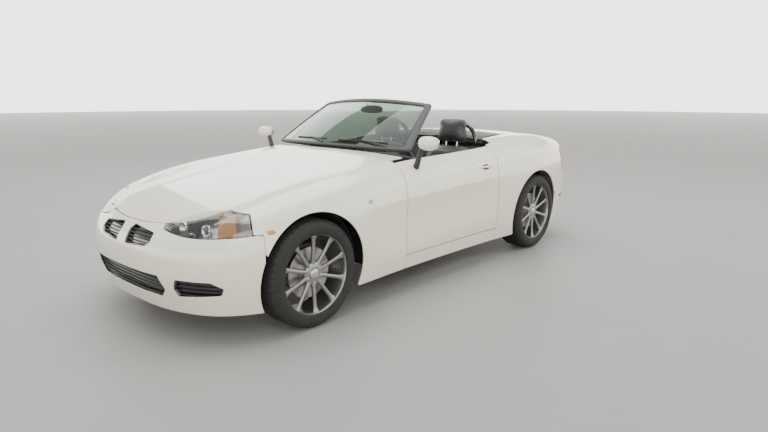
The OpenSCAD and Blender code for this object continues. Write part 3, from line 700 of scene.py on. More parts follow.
@dataclass(frozen=True)
class BodyForm:
    """The outside of the body as one smooth field, in millimetres."""

    length: float = 4090.0
    width: float = 1780.0
    deck: float = 1000.0
    wheelbase: float = 2495.0
    front_axle: float = 1305.0
    tyre: float = 317.0
    arch: float = 362.0
    sill: float = 168.0
    gap: float = 3.0
    skin: float = 8.0
    lid: float = 22.0
    door_front: float = 505.0
    door_rear: float = -595.0
    door_bottom: float = 268.0
    door_thickness: float = 130.0
    bonnet_rear: float = 595.0
    bonnet_front: float = 1945.0
    bonnet_half: float = 680.0
    boot_front: float = -1150.0
    boot_half: float = 585.0
    bulkhead: float = -750.0
    bumper_end: float = 68.0
    bumper_top: float = 642.0
    lamp_inner: float = 27.0
    lamp_outer: float = 64.0
    rear_lamp_inner: float = 34.0
    rear_lamp_outer: float = 59.0
    inset: float = 0.8
    centre_line: tuple[float, ...] = (
        0.885, 0.945, 0.985, 0.995, 0.985, 0.965, 0.955, 0.955, 0.96,
        0.95, 0.91, 0.862, 0.8, 0.728, 0.6)
    shoulder_line: tuple[float, ...] = (
        0.835, 0.885, 0.915, 0.925, 0.912, 0.895, 0.88, 0.87, 0.862,
        0.845, 0.815, 0.785, 0.742, 0.665, 0.54)
    plan_line: tuple[float, ...] = (
        0.86, 0.945, 0.985, 1.008, 0.985, 0.962, 0.952, 0.95,
        0.95, 0.955, 0.975, 0.99, 0.965, 0.905, 0.8)
    nose_line: tuple[float, ...] = (1962, 1990, 2028, 2049, 2046, 2019, 1967, 1880, 1760)
    tail_line: tuple[float, ...] = (1938, 1958, 2007, 2036, 2038, 2026, 2015, 2014, 2020, 2028)
    hip: float = 560.0
    fan_step: float = 8.0

    @property
    def rear_axle(self) -> float:
        """Place of the rear axle along X."""
        return self.front_axle - self.wheelbase

    def station(self, x: np.ndarray) -> np.ndarray:
        """Place in the tables that run from tail to nose."""
        return (x / self.length + 0.5) * (len(self.plan_line) - 1)

    def plan(self, x: np.ndarray) -> np.ndarray:
        """Half width of the body seen from above."""
        return curve(self.plan_line, self.station(x)) * self.width / 2

    def hollow(self, x: np.ndarray, z: np.ndarray) -> np.ndarray:
        """Depth of the hollow along the flank, between its two creases.

        Args:
            x: Places along the car.
            z: Heights.

        Returns:
            The depth at each.
        """
        f = (self.front_axle - x) / self.wheelbase
        low, high = 225 + 190 * f, 622 + 75 * f
        v = np.clip((z - low) / (high - low), 0, 1)
        return 16 * np.sin(math.pi * v**1.35) * ramp(f, 0.13, 0.26) * (1 - ramp(f, 0.66, 0.82))

    def value(self, p: np.ndarray) -> np.ndarray:
        """How far points are outside the body, about in millimetres.

        Args:
            p: Points, one a row.

        Returns:
            One value for each point, less than nothing inside.
        """
        x, y, z = p[:, 0], np.abs(p[:, 1]), p[:, 2]
        at, half = self.station(x), self.width / 2
        plan = curve(self.plan_line, at) * half
        shoulder = curve(self.shoulder_line, at) * self.deck
        centre = curve(self.centre_line, at) * self.deck
        waist = 0.56 * shoulder + 60
        up = np.maximum(0, z - waist) / (shoulder - waist)
        down = np.maximum(0, waist - z) / (waist - 150)
        side = y - (plan - 55 * up * up - 38 * down * down - self.hollow(x, z))
        top = centre + (shoulder - centre) * np.minimum(1.3, y / plan) ** 2.4
        top = top + 16 * bell(x - self.front_axle, 420) * bell(y - 0.72 * half, 150)
        top = top + 20 * bell(x - self.rear_axle, 450) * bell(y - 0.775 * half, 140)
        nose = curve(self.nose_line, z / 100 - 1) - 330 * (y / (0.955 * half)) ** 3
        tail = -curve(self.tail_line, z / 100 - 1) + 240 * (y / (0.955 * half)) ** 3.2
        body = smax(smax(z - top, side, 110), x - nose, 150)
        return smax(body, tail - x, 110) + self.inset

    def normal(self, p: np.ndarray) -> np.ndarray:
        """The direction straight out of the surface.

        Args:
            p: One point, or an array of them of any shape.

        Returns:
            One direction for each point.
        """
        flat = np.asarray(p, float).reshape(-1, 3)
        slope = np.stack([self.value(flat + s) - self.value(flat - s) for s in np.eye(3) * 0.5], 1)
        return (slope / np.maximum(1e-9, np.linalg.norm(slope, axis=1))[:, None]).reshape(np.shape(p))

    def hit(self, start: np.ndarray, way: np.ndarray, depth: float = 0.0) -> np.ndarray:
        """Where rays leave the body.

        Args:
            start: Points inside the body.
            way: Directions of length one.
            depth: How far inside the surface they stop.

        Returns:
            One point for each ray.
        """
        shape = np.broadcast_shapes(start.shape, way.shape)
        start = np.broadcast_to(start, shape).reshape(-1, 3)
        way = np.broadcast_to(way, shape).reshape(-1, 3)
        low, high = np.zeros(len(start)), np.full(len(start), LONGEST_RAY)
        for _ in range(HALVINGS):
            middle = (low + high) / 2
            inside = self.value(start + way * middle[:, None]) < -depth
            low, high = np.where(inside, middle, low), np.where(inside, high, middle)
        return (start + way * low[:, None]).reshape(shape)

    def sides(self, us: np.ndarray, vs: np.ndarray, depth: float = 0.0) -> np.ndarray:
        """A grid along the left side: u runs forward, v is millimetres below or degrees above the hips.

        Args:
            us: Places along the car.
            vs: Places up the side.
            depth: How far inside the surface it lies.

        Returns:
            The grid's points.
        """
        u, v = np.meshgrid(us, vs)
        x = np.clip(u, self.rear_axle, self.front_axle)
        a, p = np.radians((u - x) / self.fan_step), np.radians(np.maximum(v, 0))
        start = np.stack([x, 0 * x, self.hip + np.minimum(v, 0)], -1)
        way = np.stack([np.sin(a) * np.cos(p), np.cos(a) * np.cos(p), np.sin(p)], -1)
        return self.hit(start, way, depth)

    def fan(self, end: End, angles: np.ndarray, heights: np.ndarray, depth: float = 0.0) -> np.ndarray:
        """A grid round the nose or tail: degrees from straight ahead, then height.

        Args:
            end: The end of the car.
            angles: Degrees.
            heights: Heights.
            depth: How far inside the surface it lies.

        Returns:
            The grid's points.
        """
        a, z = np.meshgrid(np.radians(angles), heights)
        x = np.full_like(a, self.front_axle if end is End.FRONT else self.rear_axle)
        start = np.stack([x, 0 * x, z], -1)
        return self.hit(start, np.stack([end.value * np.cos(a), np.sin(a), 0 * a], -1), depth)

    def top(self, xs: np.ndarray, ys: np.ndarray, depth: float = 0.0) -> np.ndarray:
        """A grid over the top of the body."""
        x, y = np.meshgrid(xs, ys)
        return self.hit(np.stack([x, y, np.full_like(x, 300.0)], -1), np.array([0.0, 0.0, 1.0]), depth)

    def at_sides(self, x: np.ndarray, z: np.ndarray) -> np.ndarray:
        """The points of the left side at places along the car and heights."""
        x, z = np.broadcast_arrays(np.asarray(x, float), np.asarray(z, float))
        return self.hit(np.stack([x, 0 * x, z], -1), np.array([0.0, 1.0, 0.0]))

    def at_top(self, x: float, y: float) -> np.ndarray:
        """The point of the surface over a place of the plan."""
        return self.hit(np.array([x, y, 300.0]), np.array([0.0, 0.0, 1.0]))

    def at_nose(self, y: np.ndarray, z: np.ndarray) -> np.ndarray:
        """The points of the nose straight ahead of places across the car and heights."""
        y, z = np.broadcast_arrays(np.asarray(y, float), np.asarray(z, float))
        return self.hit(np.stack([0 * y + self.front_axle, y, z], -1), np.array([1.0, 0.0, 0.0]))

    def fan_place(self, end: End, p: np.ndarray) -> np.ndarray:
        """Degrees from straight ahead or behind, for points round an end."""
        axle = self.front_axle if end is End.FRONT else self.rear_axle
        return np.degrees(np.arctan2(np.abs(p[:, 1]), end.value * (p[:, 0] - axle)))

    def lamp_bottom(self, a: np.ndarray) -> np.ndarray:
        """Lower edge of the headlights."""
        return 592 + np.where(a < 45, 30, 10) * ((a - 45) / 19) ** 2

    def lamp_top(self, a: np.ndarray) -> np.ndarray:
        """Upper edge of the headlights."""
        return 712 - 82 * (np.abs(55 - a) / 29) ** 1.6

    def rear_lamp_top(self, a: np.ndarray) -> np.ndarray:
        """Upper edge of the rear lamps."""
        return 852 - 24 * ((a - 40) / 19) ** 2

    def headlight(self, p: np.ndarray) -> np.ndarray:
        """Distance from the headlight's outline, less than nothing inside it.

        Args:
            p: Points, one a row.

        Returns:
            One distance for each point.
        """
        a = self.fan_place(End.FRONT, p)
        reach = np.maximum(self.lamp_inner - a, a - self.lamp_outer) * 14
        return np.maximum.reduce([p[:, 2] - self.lamp_top(a), self.lamp_bottom(a) - p[:, 2], reach])

    def rear_lamp(self, p: np.ndarray) -> np.ndarray:
        """Distance from the rear lamp's outline, less than nothing inside it.

        Args:
            p: Points, one a row.

        Returns:
            One distance for each point.
        """
        a = self.fan_place(End.REAR, p)
        reach = np.maximum(self.rear_lamp_inner - a, a - self.rear_lamp_outer) * 14
        return np.maximum.reduce([p[:, 2] - self.rear_lamp_top(a), self.bumper_top - p[:, 2], reach])

    def wheel_arch(self, end: End, p: np.ndarray) -> np.ndarray:
        """Distance from the edge of a wheel arch, less than nothing inside it."""
        axle = self.front_axle if end is End.FRONT else self.rear_axle
        return np.hypot(p[:, 0] - axle, p[:, 2] - self.tyre) - self.arch

    def bonnet_edge(self, x: np.ndarray) -> np.ndarray:
        """Half width of the bonnet's outline."""
        s = np.clip((x - self.bonnet_rear) / (self.bonnet_front - self.bonnet_rear), 0, 1)
        return self.bonnet_half * (1 - 0.1 * s**1.6) * np.maximum(0, 1 - s**9) ** (1 / 2.2)

    def bonnet(self, p: np.ndarray) -> np.ndarray:
        """Distance from the bonnet's outline, seen from above.

        Args:
            p: Points, one a row.

        Returns:
            One distance for each point.
        """
        front = self.bonnet_front - 460 * (1 - np.sin(np.radians(np.arange(20, 91, 3))))
        xs = np.concatenate([np.linspace(self.bonnet_rear, front[0] - 20, 24), front])
        edge = np.stack([xs, self.bonnet_edge(xs)], 1)
        return inside_of(np.vstack([edge, edge[-2::-1] * [1, -1]]), p[:, :2])

    def boot(self, p: np.ndarray) -> np.ndarray:
        """Distance from the boot lid's outline, from above and from behind.

        Args:
            p: Points, one a row.

        Returns:
            One distance for each point.
        """
        w, f, top = self.boot_half, self.boot_front, self.bumper_top
        plan = [(f, -w + 20), (f, w - 20), (f - 300, w), (-2200, w), (-2200, -w), (f - 300, -w)]
        half = [(w - 70, top), (w - 45, 760), (w, 900), (w, 1300)]
        back = half + [(-y, z) for y, z in half[::-1]]
        return np.maximum(inside_of(plan, p[:, :2]), inside_of(back, p[:, 1:]))

    def cabin(self, p: np.ndarray) -> np.ndarray:
        """Distance from the opening of the cabin and the hood's well, seen from above.

        Args:
            p: Points, one a row.

        Returns:
            One distance for each point.
        """
        well = self.boot_half - 20
        side = float(self.plan(np.array([self.door_rear]))[0]) - self.door_thickness - 15
        half = [(self.door_rear + 50, side), (self.bulkhead + 60, side - 20), (self.bulkhead - 20, well)]
        half.append((self.boot_front - 10, well))
        return inside_of(half + [(x, -y) for x, y in half[::-1]], p[:, :2])


FORM = BodyForm()


class Panel:
    """A trimmed grid on the body, with rolled edges and an inner side."""

    def __init__(self, grid: np.ndarray, trim: Optional[Measure] = None, depth: float = FORM.skin,
                 roll: float = 2.2) -> None:
        """Builds the panel's mesh.

        Args:
            grid: Rows and columns of points on the surface.
            trim: Less than nothing where the panel is; None keeps the whole grid.
            depth: The panel's thickness.
            roll: Radius of the rolled edge.
        """
        self.roll = roll
        self.depth = depth
        points, faces = self.cut(grid, trim)
        bm = bmesh.new()
        verts = [bm.verts.new(p) for p in points]
        for f in faces:
            if len(set(f)) > 2:
                bm.faces.new([verts[i] for i in f])
        bmesh.ops.remove_doubles(bm, verts=bm.verts, dist=WELD)
        bmesh.ops.dissolve_degenerate(bm, edges=bm.edges, dist=SLIVER)
        used = [v for v in bm.verts if v.link_faces]
        bm.verts.index_update()
        number = {v.index: k for k, v in enumerate(used)}
        self.points = [np.array(v.co) for v in used]
        self.faces = [[number[v.index] for v in f.verts] for f in bm.faces]
        bm.free()
        self.normals = [[] for _ in self.faces]
        self.close()

    def cut(self, grid: np.ndarray, trim: Optional[Measure]) -> tuple[list, list]:
        """Cuts a grid along the line where its trim is nothing.

        Args:
            grid: The grid of points.
            trim: The measure, or None.

        Returns:
            Points and faces.
        """
        m, n = grid.shape[:2]
        flat = grid.reshape(-1, 3)
        g = trim(flat) + self.roll if trim else np.full(len(flat), -1.0)
        keep = g < 0
        number = np.cumsum(keep) - 1
        points = list(flat[keep])
        k = np.arange(m * n).reshape(m, n)
        along = np.stack([k[:, :-1].ravel(), k[:, 1:].ravel()], 1)
        pairs = np.vstack([along, np.stack([k[:-1].ravel(), k[1:].ravel()], 1)])
        pairs = pairs[keep[pairs[:, 0]] != keep[pairs[:, 1]]]
        crossing = {}
        if len(pairs):
            first = np.where(keep[pairs[:, 0]], pairs[:, 0], pairs[:, 1])
            last = np.where(keep[pairs[:, 0]], pairs[:, 1], pairs[:, 0])
            low, high = np.zeros(len(pairs)), np.ones(len(pairs))
            for _ in range(CUT_HALVINGS):
                t = (low + high) / 2
                inside = trim(flat[first] + (flat[last] - flat[first]) * t[:, None]) + self.roll < 0
                low, high = np.where(inside, t, low), np.where(inside, high, t)
            edge = flat[first] + (flat[last] - flat[first]) * low[:, None]
            edge = edge - FORM.normal(edge) * FORM.value(edge)[:, None]
            for (a, b), p in zip(pairs, edge):
                crossing[(a, b)] = crossing[(b, a)] = len(points)
                points.append(p)
        cells = np.stack([k[:-1, :-1], k[:-1, 1:], k[1:, 1:], k[1:, :-1]], -1).reshape(-1, 4)
        held = keep[cells]
        faces = [tuple(number[c]) for c in cells[held.all(1)]]
        for c in cells[held.any(1) & ~held.all(1)]:
            face = []
            for a, b in zip(c, np.roll(c, -1)):
                if keep[a]:
                    face.append(number[a])
                if keep[a] != keep[b]:
                    face.append(crossing[(a, b)])
            faces.append(tuple(face))
        middle = flat[cells[len(cells) // 2]]
        turn = np.cross(middle[1] - middle[0], middle[2] - middle[1])
        if np.dot(turn, FORM.normal(middle.mean(0))) < 0:
            faces = [f[::-1] for f in faces]
        return points, faces

    def close(self) -> None:
        """Rolls the edges over and adds the inner side."""
        points = np.array(self.points)
        count, r = len(points), self.roll
        normals = FORM.normal(points)
        self.normals = [[normals[i] for i in f] for f in self.faces]
        front = list(self.faces)
        used = {(a, b) for f in front for a, b in zip(f, f[1:] + f[:1])}
        rim = [(a, b) for a, b in used if (b, a) not in used]
        outward: dict[int, list[np.ndarray]] = {}
        for a, b in rim:
            way = unit(points[b] - points[a])
            for i in (a, b):
                outward.setdefault(i, []).append(unit(np.cross(way, normals[i])))
        self.points += list(points - normals * self.depth)
        rows, turns = {}, {}
        for i, ways in outward.items():
            way = unit(sum(ways))
            bent = way * min(1.5, 1 / max(0.3, float(np.mean([np.dot(way, w) for w in ways]))))
            rows[i], turns[i] = [i], [normals[i]]
            for angle in ROLL_ANGLES:
                c, s = math.cos(math.radians(angle)), math.sin(math.radians(angle))
                rows[i].append(len(self.points))
                turns[i].append(normals[i] * c + way * s)
                self.points.append(points[i] + bent * r * s - normals[i] * r * (1 - c))
            rows[i].append(len(self.points))
            turns[i].append(way)
            self.points.append(points[i] + bent * r - normals[i] * self.depth)
        for f in front:
            back = [i + count for i in reversed(f)]
            self.add(back, [-normals[i - count] for i in back])
        for a, b in rim:
            for j in range(len(ROLL_ANGLES) + 1):
                self.add([rows[b][j], rows[a][j], rows[a][j + 1], rows[b][j + 1]],
                         [turns[b][j], turns[a][j], turns[a][j + 1], turns[b][j + 1]])
            self.add([rows[b][-1], rows[a][-1], a + count, b + count], [-normals[i] for i in (b, a, a, b)])

    def add(self, face: list[int], normals: list[np.ndarray]) -> None:
        """Adds one face with a normal for each corner."""
        self.faces.append(face)
        self.normals.append(normals)

    def place(self, name: str, rider: Rider, side: Side = Side.LEFT) -> Piece:
        """Makes the panel into a piece.

        Args:
            name: The piece's name.
            rider: What it rides on and is finished with.
            side: The side it is wanted on, for a panel drawn on the left.

        Returns:
            The new object.
        """
        step = 1 if side is Side.LEFT else -1
        flip = np.array([1.0, side.value, 1.0])
        mesh = bpy.data.meshes.new(name)
        points = np.array(self.points) * MM * flip
        mesh.from_pydata(points.tolist(), [], [f[::step] for f in self.faces])
        mesh.shade_smooth()
        mesh.normals_split_custom_set([tuple(n * flip) for f in self.normals for n in f[::step]])
        return rider.dress(bpy.data.objects.new(name, mesh))


def strip_between(front: np.ndarray, back: np.ndarray) -> Shape:
    """A closed sheet between two grids of the same size.

    Args:
        front: The grid that shows.
        back: The grid behind it.

    Returns:
        The shape.
    """
    m, n = front.shape[:2]
    k = np.arange(m * n).reshape(m, n)
    quads = np.stack([k[:-1, :-1], k[:-1, 1:], k[1:, 1:], k[1:, :-1]], -1).reshape(-1, 4)
    rim = np.concatenate([k[0, :], k[1:, -1], k[-1, -2::-1], k[-2:0:-1, 0]])
    walls = [(a, b, b + m * n, a + m * n) for a, b in zip(rim, np.roll(rim, -1))]
    faces = list(quads) + [q[::-1] + m * n for q in quads] + walls
    return Shape().add(np.vstack([front.reshape(-1, 3), back.reshape(-1, 3)]), faces)


def prism_between(section: np.ndarray, ys: Sequence[float], shrink: Callable[[float], float],
                  lift: Callable[[float, np.ndarray], np.ndarray]) -> Shape:
    """Sections in X and Z spread across the car.

    Args:
        section: The section's points as pairs.
        ys: Where it stands along Y.
        shrink: How far the section is drawn in at each place, in millimetres.
        lift: Changes the section's points at each place.

    Returns:
        The shape.
    """
    middle = section.mean(0)
    rings = []
    for y in ys:
        ways = section - middle
        size = np.linalg.norm(ways, axis=1)[:, None]
        pts = lift(y, section - ways / np.maximum(size, 1e-6) * np.minimum(shrink(y), size * 0.9))
        rings.append([(x, y, z) for x, z in pts])
    return Shape().loft(rings)


# ---- coachwork


@dataclass
class Coachwork:
    """The painted panels but the doors: bonnet, wings, quarters, bumpers, boot lid, cowl and sills."""

    form: BodyForm = FORM
    openings: dict = field(default_factory=lambda: {
        "grille_left": [(48, 506), (262, 522), (292, 548), (284, 592), (62, 610), (42, 584)],
        "grille_right": [(-48, 506), (-262, 522), (-292, 548), (-284, 592), (-62, 610), (-42, 584)],
        "intake": [(-350, 250), (350, 250), (395, 300), (360, 375), (-360, 375), (-395, 300)],
        "side_left": [(470, 268), (690, 290), (705, 330), (660, 365), (480, 368), (455, 310)],
        "side_right": [(-470, 268), (-690, 290), (-705, 330), (-660, 365), (-480, 368), (-455, 310)]})

    def rider(self, body: str, *nodes: str) -> Rider:
        """A painted rider on a body that stands for some nodes."""
        return Rider("paint", nodes, body=body)

    def clear_of(self, *measures: np.ndarray) -> np.ndarray:
        """The greatest of some measures: less than nothing where all of them hold."""
        return np.maximum.reduce(measures)

    def bonnet(self) -> None:
        """Builds the bonnet."""
        f = self.form
        front = f.bonnet_front - 300 * (1 - np.sin(np.radians(np.arange(0, 91, 3))))
        xs = np.concatenate([span(f.bonnet_rear - 6, f.bonnet_front - 310, 15), front, [f.bonnet_front + 4]])
        x, t = np.meshgrid(xs, np.linspace(-1, 1, 91))
        y = t * (np.maximum(f.bonnet_edge(x), 90) + 8)
        grid = f.hit(np.stack([x, y, 0 * x + 300], -1), np.array([0, 0, 1.0]))
        panel = Panel(grid, f.bonnet, f.lid)
        panel.place("bonnet_skin", self.rider("bonnet", "bonnet"))

    def wing_trim(self, p: np.ndarray) -> np.ndarray:
        """Less than nothing on the front wing.

        Args:
            p: Points, one a row.

        Returns:
            One distance for each point.
        """
        f, (x, y, z) = self.form, p.T
        a = f.fan_place(End.FRONT, p)
        bumper = np.where(a < f.bumper_end, f.lamp_bottom(np.minimum(a, f.lamp_outer)) - z, -40.0)
        bumper = np.where(a < f.lamp_inner + 2, 716 - z, bumper)
        cowl = np.minimum(597 - x, 683 - y)
        return self.clear_of(
            f.gap - f.bonnet(p), f.gap - f.headlight(p), bumper, -f.wheel_arch(End.FRONT, p),
            f.door_front + f.gap - x, cowl, f.sill - z)

    def wing(self, side: Side) -> None:
        """Builds a front wing.

        Args:
            side: Its side.
        """
        f = self.form
        us = two_spans(f.door_front, 12, f.front_axle, 9, f.front_axle + 530)
        vs = two_spans(f.sill - 3 - f.hip, 12, 0, 0.8, 42)
        panel = Panel(f.sides(us, vs), self.wing_trim)
        panel.place(f"wing_skin_{side.word}", self.rider("root", f"front_fender_{side.word}"), side)

    def quarter_trim(self, p: np.ndarray) -> np.ndarray:
        """Less than nothing on the rear quarter.

        Args:
            p: Points, one a row.

        Returns:
            One distance for each point.
        """
        f, (x, y, z) = self.form, p.T
        a = f.fan_place(End.REAR, p)
        bumper = np.where(a < f.bumper_end, f.bumper_top - z, -40.0)
        return self.clear_of(
            f.gap - f.boot(p), f.gap - f.cabin(p), f.gap - f.rear_lamp(p), bumper, 560 - y,
            -f.wheel_arch(End.REAR, p), x - f.door_rear + f.gap, f.sill - z)

    def quarter(self, side: Side) -> None:
        """Builds a rear quarter.

        Args:
            side: Its side.
        """
        f = self.form
        us = two_spans(f.rear_axle - 540, 9, f.rear_axle, 12, f.door_rear)
        vs = two_spans(f.sill - 3 - f.hip, 12, 0, 0.8, 44)
        panel = Panel(f.sides(us, vs), self.quarter_trim)
        panel.place(f"quarter_skin_{side.word}", self.rider("root", f"rear_quarter_{side.word}"), side)

    def nose_trim(self, p: np.ndarray) -> np.ndarray:
        """Less than nothing on the front bumper.

        Args:
            p: Points, one a row.

        Returns:
            One distance for each point.
        """
        f, z = self.form, p[:, 2]
        a = f.fan_place(End.FRONT, p)
        lamp = np.where(a > f.lamp_inner, z - f.lamp_bottom(np.minimum(a, f.lamp_outer)) + f.gap, -40.0)
        holes = [-inside_of(line, p[:, 1:]) for line in self.openings.values()]
        return self.clear_of(
            f.gap - f.bonnet(p), f.gap - f.headlight(p), lamp, (a - f.bumper_end) * 14 + f.gap,
            -f.wheel_arch(End.FRONT, p), z - 716, *holes)

    def nose(self) -> None:
        """Builds the front bumper."""
        f = self.form
        panel = Panel(f.fan(End.FRONT, span(-69, 69, 0.9), span(f.sill, 722, 9)), self.nose_trim)
        panel.place("front_bumper_skin", self.rider("root", "front_bumper"))

    def tail_trim(self, p: np.ndarray) -> np.ndarray:
        """Less than nothing on the rear bumper.

        Args:
            p: Points, one a row.

        Returns:
            One distance for each point.
        """
        f, z = self.form, p[:, 2]
        a = f.fan_place(End.REAR, p)
        low = 282 + (188 - 282) * ramp(a, 30, 50)
        return self.clear_of(low - z, z - f.bumper_top + f.gap, (a - f.bumper_end) * 14 + f.gap,
                             -f.wheel_arch(End.REAR, p))

    def tail(self) -> None:
        """Builds the rear bumper."""
        f = self.form
        panel = Panel(f.fan(End.REAR, span(-69, 69, 1.0), span(180, 645, 10)), self.tail_trim)
        panel.place("rear_bumper_skin", self.rider("root", "rear_bumper"))

    def lid(self) -> None:
        """Builds the boot lid, whose rows run back over the deck and then down the tail."""
        f = self.form
        ys = span(-f.boot_half - 6, f.boot_half + 6, 13)
        deck = [((x, 300.0), (0.0, 1.0)) for x in span(f.boot_front + 5, -1590, 13)]
        back = [((-1590.0, 300.0), (-math.sin(a), math.cos(a))) for a in np.radians(span(1, 57, 0.9))]
        start = np.array([[(s[0], y, s[1]) for y in ys] for s, _ in deck + back])
        way = np.array([[(w[0], 0.0, w[1]) for _ in ys] for _, w in deck + back])
        panel = Panel(f.hit(start, way), f.boot, f.lid)
        panel.place("boot_lid_skin", self.rider("boot_lid", "boot_lid"))

    def cowl(self) -> None:
        """Builds the panel under the windscreen."""
        f = self.form
        grid = f.top(span(330, 596, 10), span(-684, 684, 14))

        def trim(p: np.ndarray) -> np.ndarray:
            """Less than nothing on the cowl."""
            base = 550 - 225 * (p[:, 1] / 705) ** 2 + 26
            return np.maximum.reduce([p[:, 0] - 592, np.abs(p[:, 1]) - 677, base - p[:, 0]])

        Panel(grid, trim).place("cowl_skin", self.rider("root", "cowl_panel"))

    def sill(self, side: Side) -> None:
        """Builds a sill's outer skin; the box behind it stays as it is.

        Args:
            side: Its side.
        """
        f = self.form
        grid = f.sides(span(f.door_rear + 3, f.door_front - 3, 14), span(f.sill + 3 - f.hip, 259 - f.hip, 8))
        nodes = ("sills",) if side is Side.LEFT else ()
        Panel(grid, None, 60.0).place(f"sill_skin_{side.word}", self.rider("root", *nodes), side)

    def build(self) -> None:
        """Builds every painted panel but the doors."""
        for one in (self.bonnet, self.nose, self.tail, self.lid, self.cowl):
            one()
        for side in Side:
            self.wing(side)
            self.quarter(side)
            self.sill(side)


@dataclass
class Doors:
    """Doors with skin, frame, lining, handles and mirrors."""

    form: BodyForm = FORM

    def trim(self, p: np.ndarray) -> np.ndarray:
        """Less than nothing on the door's outer skin.

        Args:
            p: Points, one a row.

        Returns:
            One distance for each point.
        """
        f, (x, y, z) = self.form, p.T
        inner = f.plan(x) - f.door_thickness
        ends = np.maximum(f.door_rear + f.gap - x, x - f.door_front + f.gap)
        return np.maximum.reduce([ends, f.door_bottom - z, inner - y])

    def section(self, x: float) -> tuple[np.ndarray, float, float]:
        """The line just inside the skin at one place along the door.

        Args:
            x: The place.

        Returns:
            The line from the bottom up and over, the inner side's Y and its top.
        """
        f = self.form
        inner = float(f.plan(np.array([x]))[0]) - f.door_thickness
        low = f.sides(np.array([x]), span(f.door_bottom + 4 - f.hip, 0, 30), 6.0)[:, 0]
        high = f.sides(np.array([x]), span(1.5, 32, 1.5), 6.0)[:, 0]
        line = np.vstack([low, high[high[:, 1] > inner + 14]])
        return line, inner, float(f.at_top(x, inner + 12)[2]) - 14

    def frame_of(self, side: Side) -> None:
        """Builds the painted frame inside a door's skin.

        Args:
            side: Its side.
        """
        f, rings = self.form, []
        for x in span(f.door_rear + 8, f.door_front - 8, 40):
            line, inner, top = self.section(x)
            keep = np.linspace(0, 1, 24)
            length = np.concatenate([[0], np.cumsum(np.linalg.norm(np.diff(line, axis=0), axis=1))])
            outer = np.stack([np.interp(keep * length[-1], length, line[:, i]) for i in range(3)], 1)
            back = [(x, inner + 8, z) for z in np.linspace(top - 6, f.door_bottom + 4, 10)]
            rings.append(np.vstack([outer, back]))
        shape = Shape().loft(rings).mirrored(side)
        body = f"door_{side.word}"
        Rider("paint", (body,), body).place(f"door_frame_{side.word}", shape)

    def lining(self, side: Side) -> None:
        """Builds a door's lining with an armrest, pocket, pull and loudspeaker.

        Args:
            side: Its side.
        """
        f, body = self.form, f"door_{side.word}"
        xs, ts = span(f.door_rear + 14, f.door_front - 14, 12), np.linspace(0, 1, 52)
        inner = f.plan(xs) - f.door_thickness
        top = np.array([float(f.at_top(x, i + 12)[2]) - 16 for x, i in zip(xs, inner)])
        x, t = np.meshgrid(xs, ts)
        z = f.door_bottom + 14 + (top - f.door_bottom - 14) * t
        rest = 40 * bell(z - 640, 42) * ramp(x, -560, -470) * (1 - ramp(x, 150, 260))
        pocket = 16 * bell(z - 350, 60) * ramp(x, -420, -340) * (1 - ramp(x, 230, 330))
        roll = 10 * (1 - ramp(t, 0.86, 1.0))
        edge = 8 * (1 - ramp(t, 0.0, 0.06))
        y = inner + 8 - np.minimum(8, roll * 0.8) - rest * 0.16 + edge - pocket * 0.1
        y = y + 4 * bell(z - 760, 14)
        back = np.stack([x, inner + 12 + 0 * x, z], -1)
        shape = strip_between(np.stack([x, y, z], -1), back).mirrored(side)
        Rider("cabin", body=body).place(f"door_lining_{side.word}", shape)
        y0 = float(inner[len(xs) // 2])
        rest_line = smooth_line([(-500, y0 + 6, 620), (-440, y0 - 2, 632), (-200, y0 - 2, 640),
                                 (60, y0, 648), (150, y0 + 8, 652)])
        arm = Shape().tube(rest_line, 15 * np.sin(np.linspace(0.35, math.pi - 0.35, len(rest_line))), 14)
        piece = Rider("leather", body=body).place(f"door_armrest_{side.word}", arm.mirrored(side))
        bow = [(150, y0 + 8, 742), (160, y0 - 6, 744), (230, y0 - 6, 748), (240, y0 + 8, 748)]
        pull = Shape().tube(smooth_line(bow), 5)
        Rider("satin", body=body).place(f"door_latch_pull_{side.word}", pull.mirrored(side))
        at = np.array([300.0, float(f.plan(np.array([300.0]))[0]) - f.door_thickness + 8, 400.0])
        profile = [(74, 0), (74, 4), (66, 5.5), (60, 3), (20, 2), (8, 4), (1, 4)]
        cone = Shape().turned(at, (0, -1, 0), profile, 40)
        Rider("plastic", body=body).place(f"door_speaker_{side.word}", cone.mirrored(side))

    def handle(self, side: Side) -> None:
        """Builds the outer pull and a black patch behind it, painted shade standing for its recess.

        Args:
            side: Its side.
        """
        f, body = self.form, f"door_{side.word}"
        x = span(-520, -350, 10)
        line = f.at_sides(x, 770.0 + 0.02 * (x + 520))
        line = line + f.normal(line) * (13 - 15 * ((x + 435) / 88) ** 6)[:, None]
        grip = Shape().tube(line, 7.5 + 2 * np.sin(np.linspace(0, math.pi, len(line))), 14)
        Rider("paint", body=body).place(f"door_handle_{side.word}", grip.mirrored(side))
        # A thin black patch just proud of the skin paints the shade of the recess behind the pull.
        shade_patch = on_side(-478, -392, 752, 792, lambda s, t: 1.2 - 0.6 * s * s, 2.4)
        Rider("rubber", body=body).place(f"handle_recess_{side.word}", shade_patch.mirrored(side))

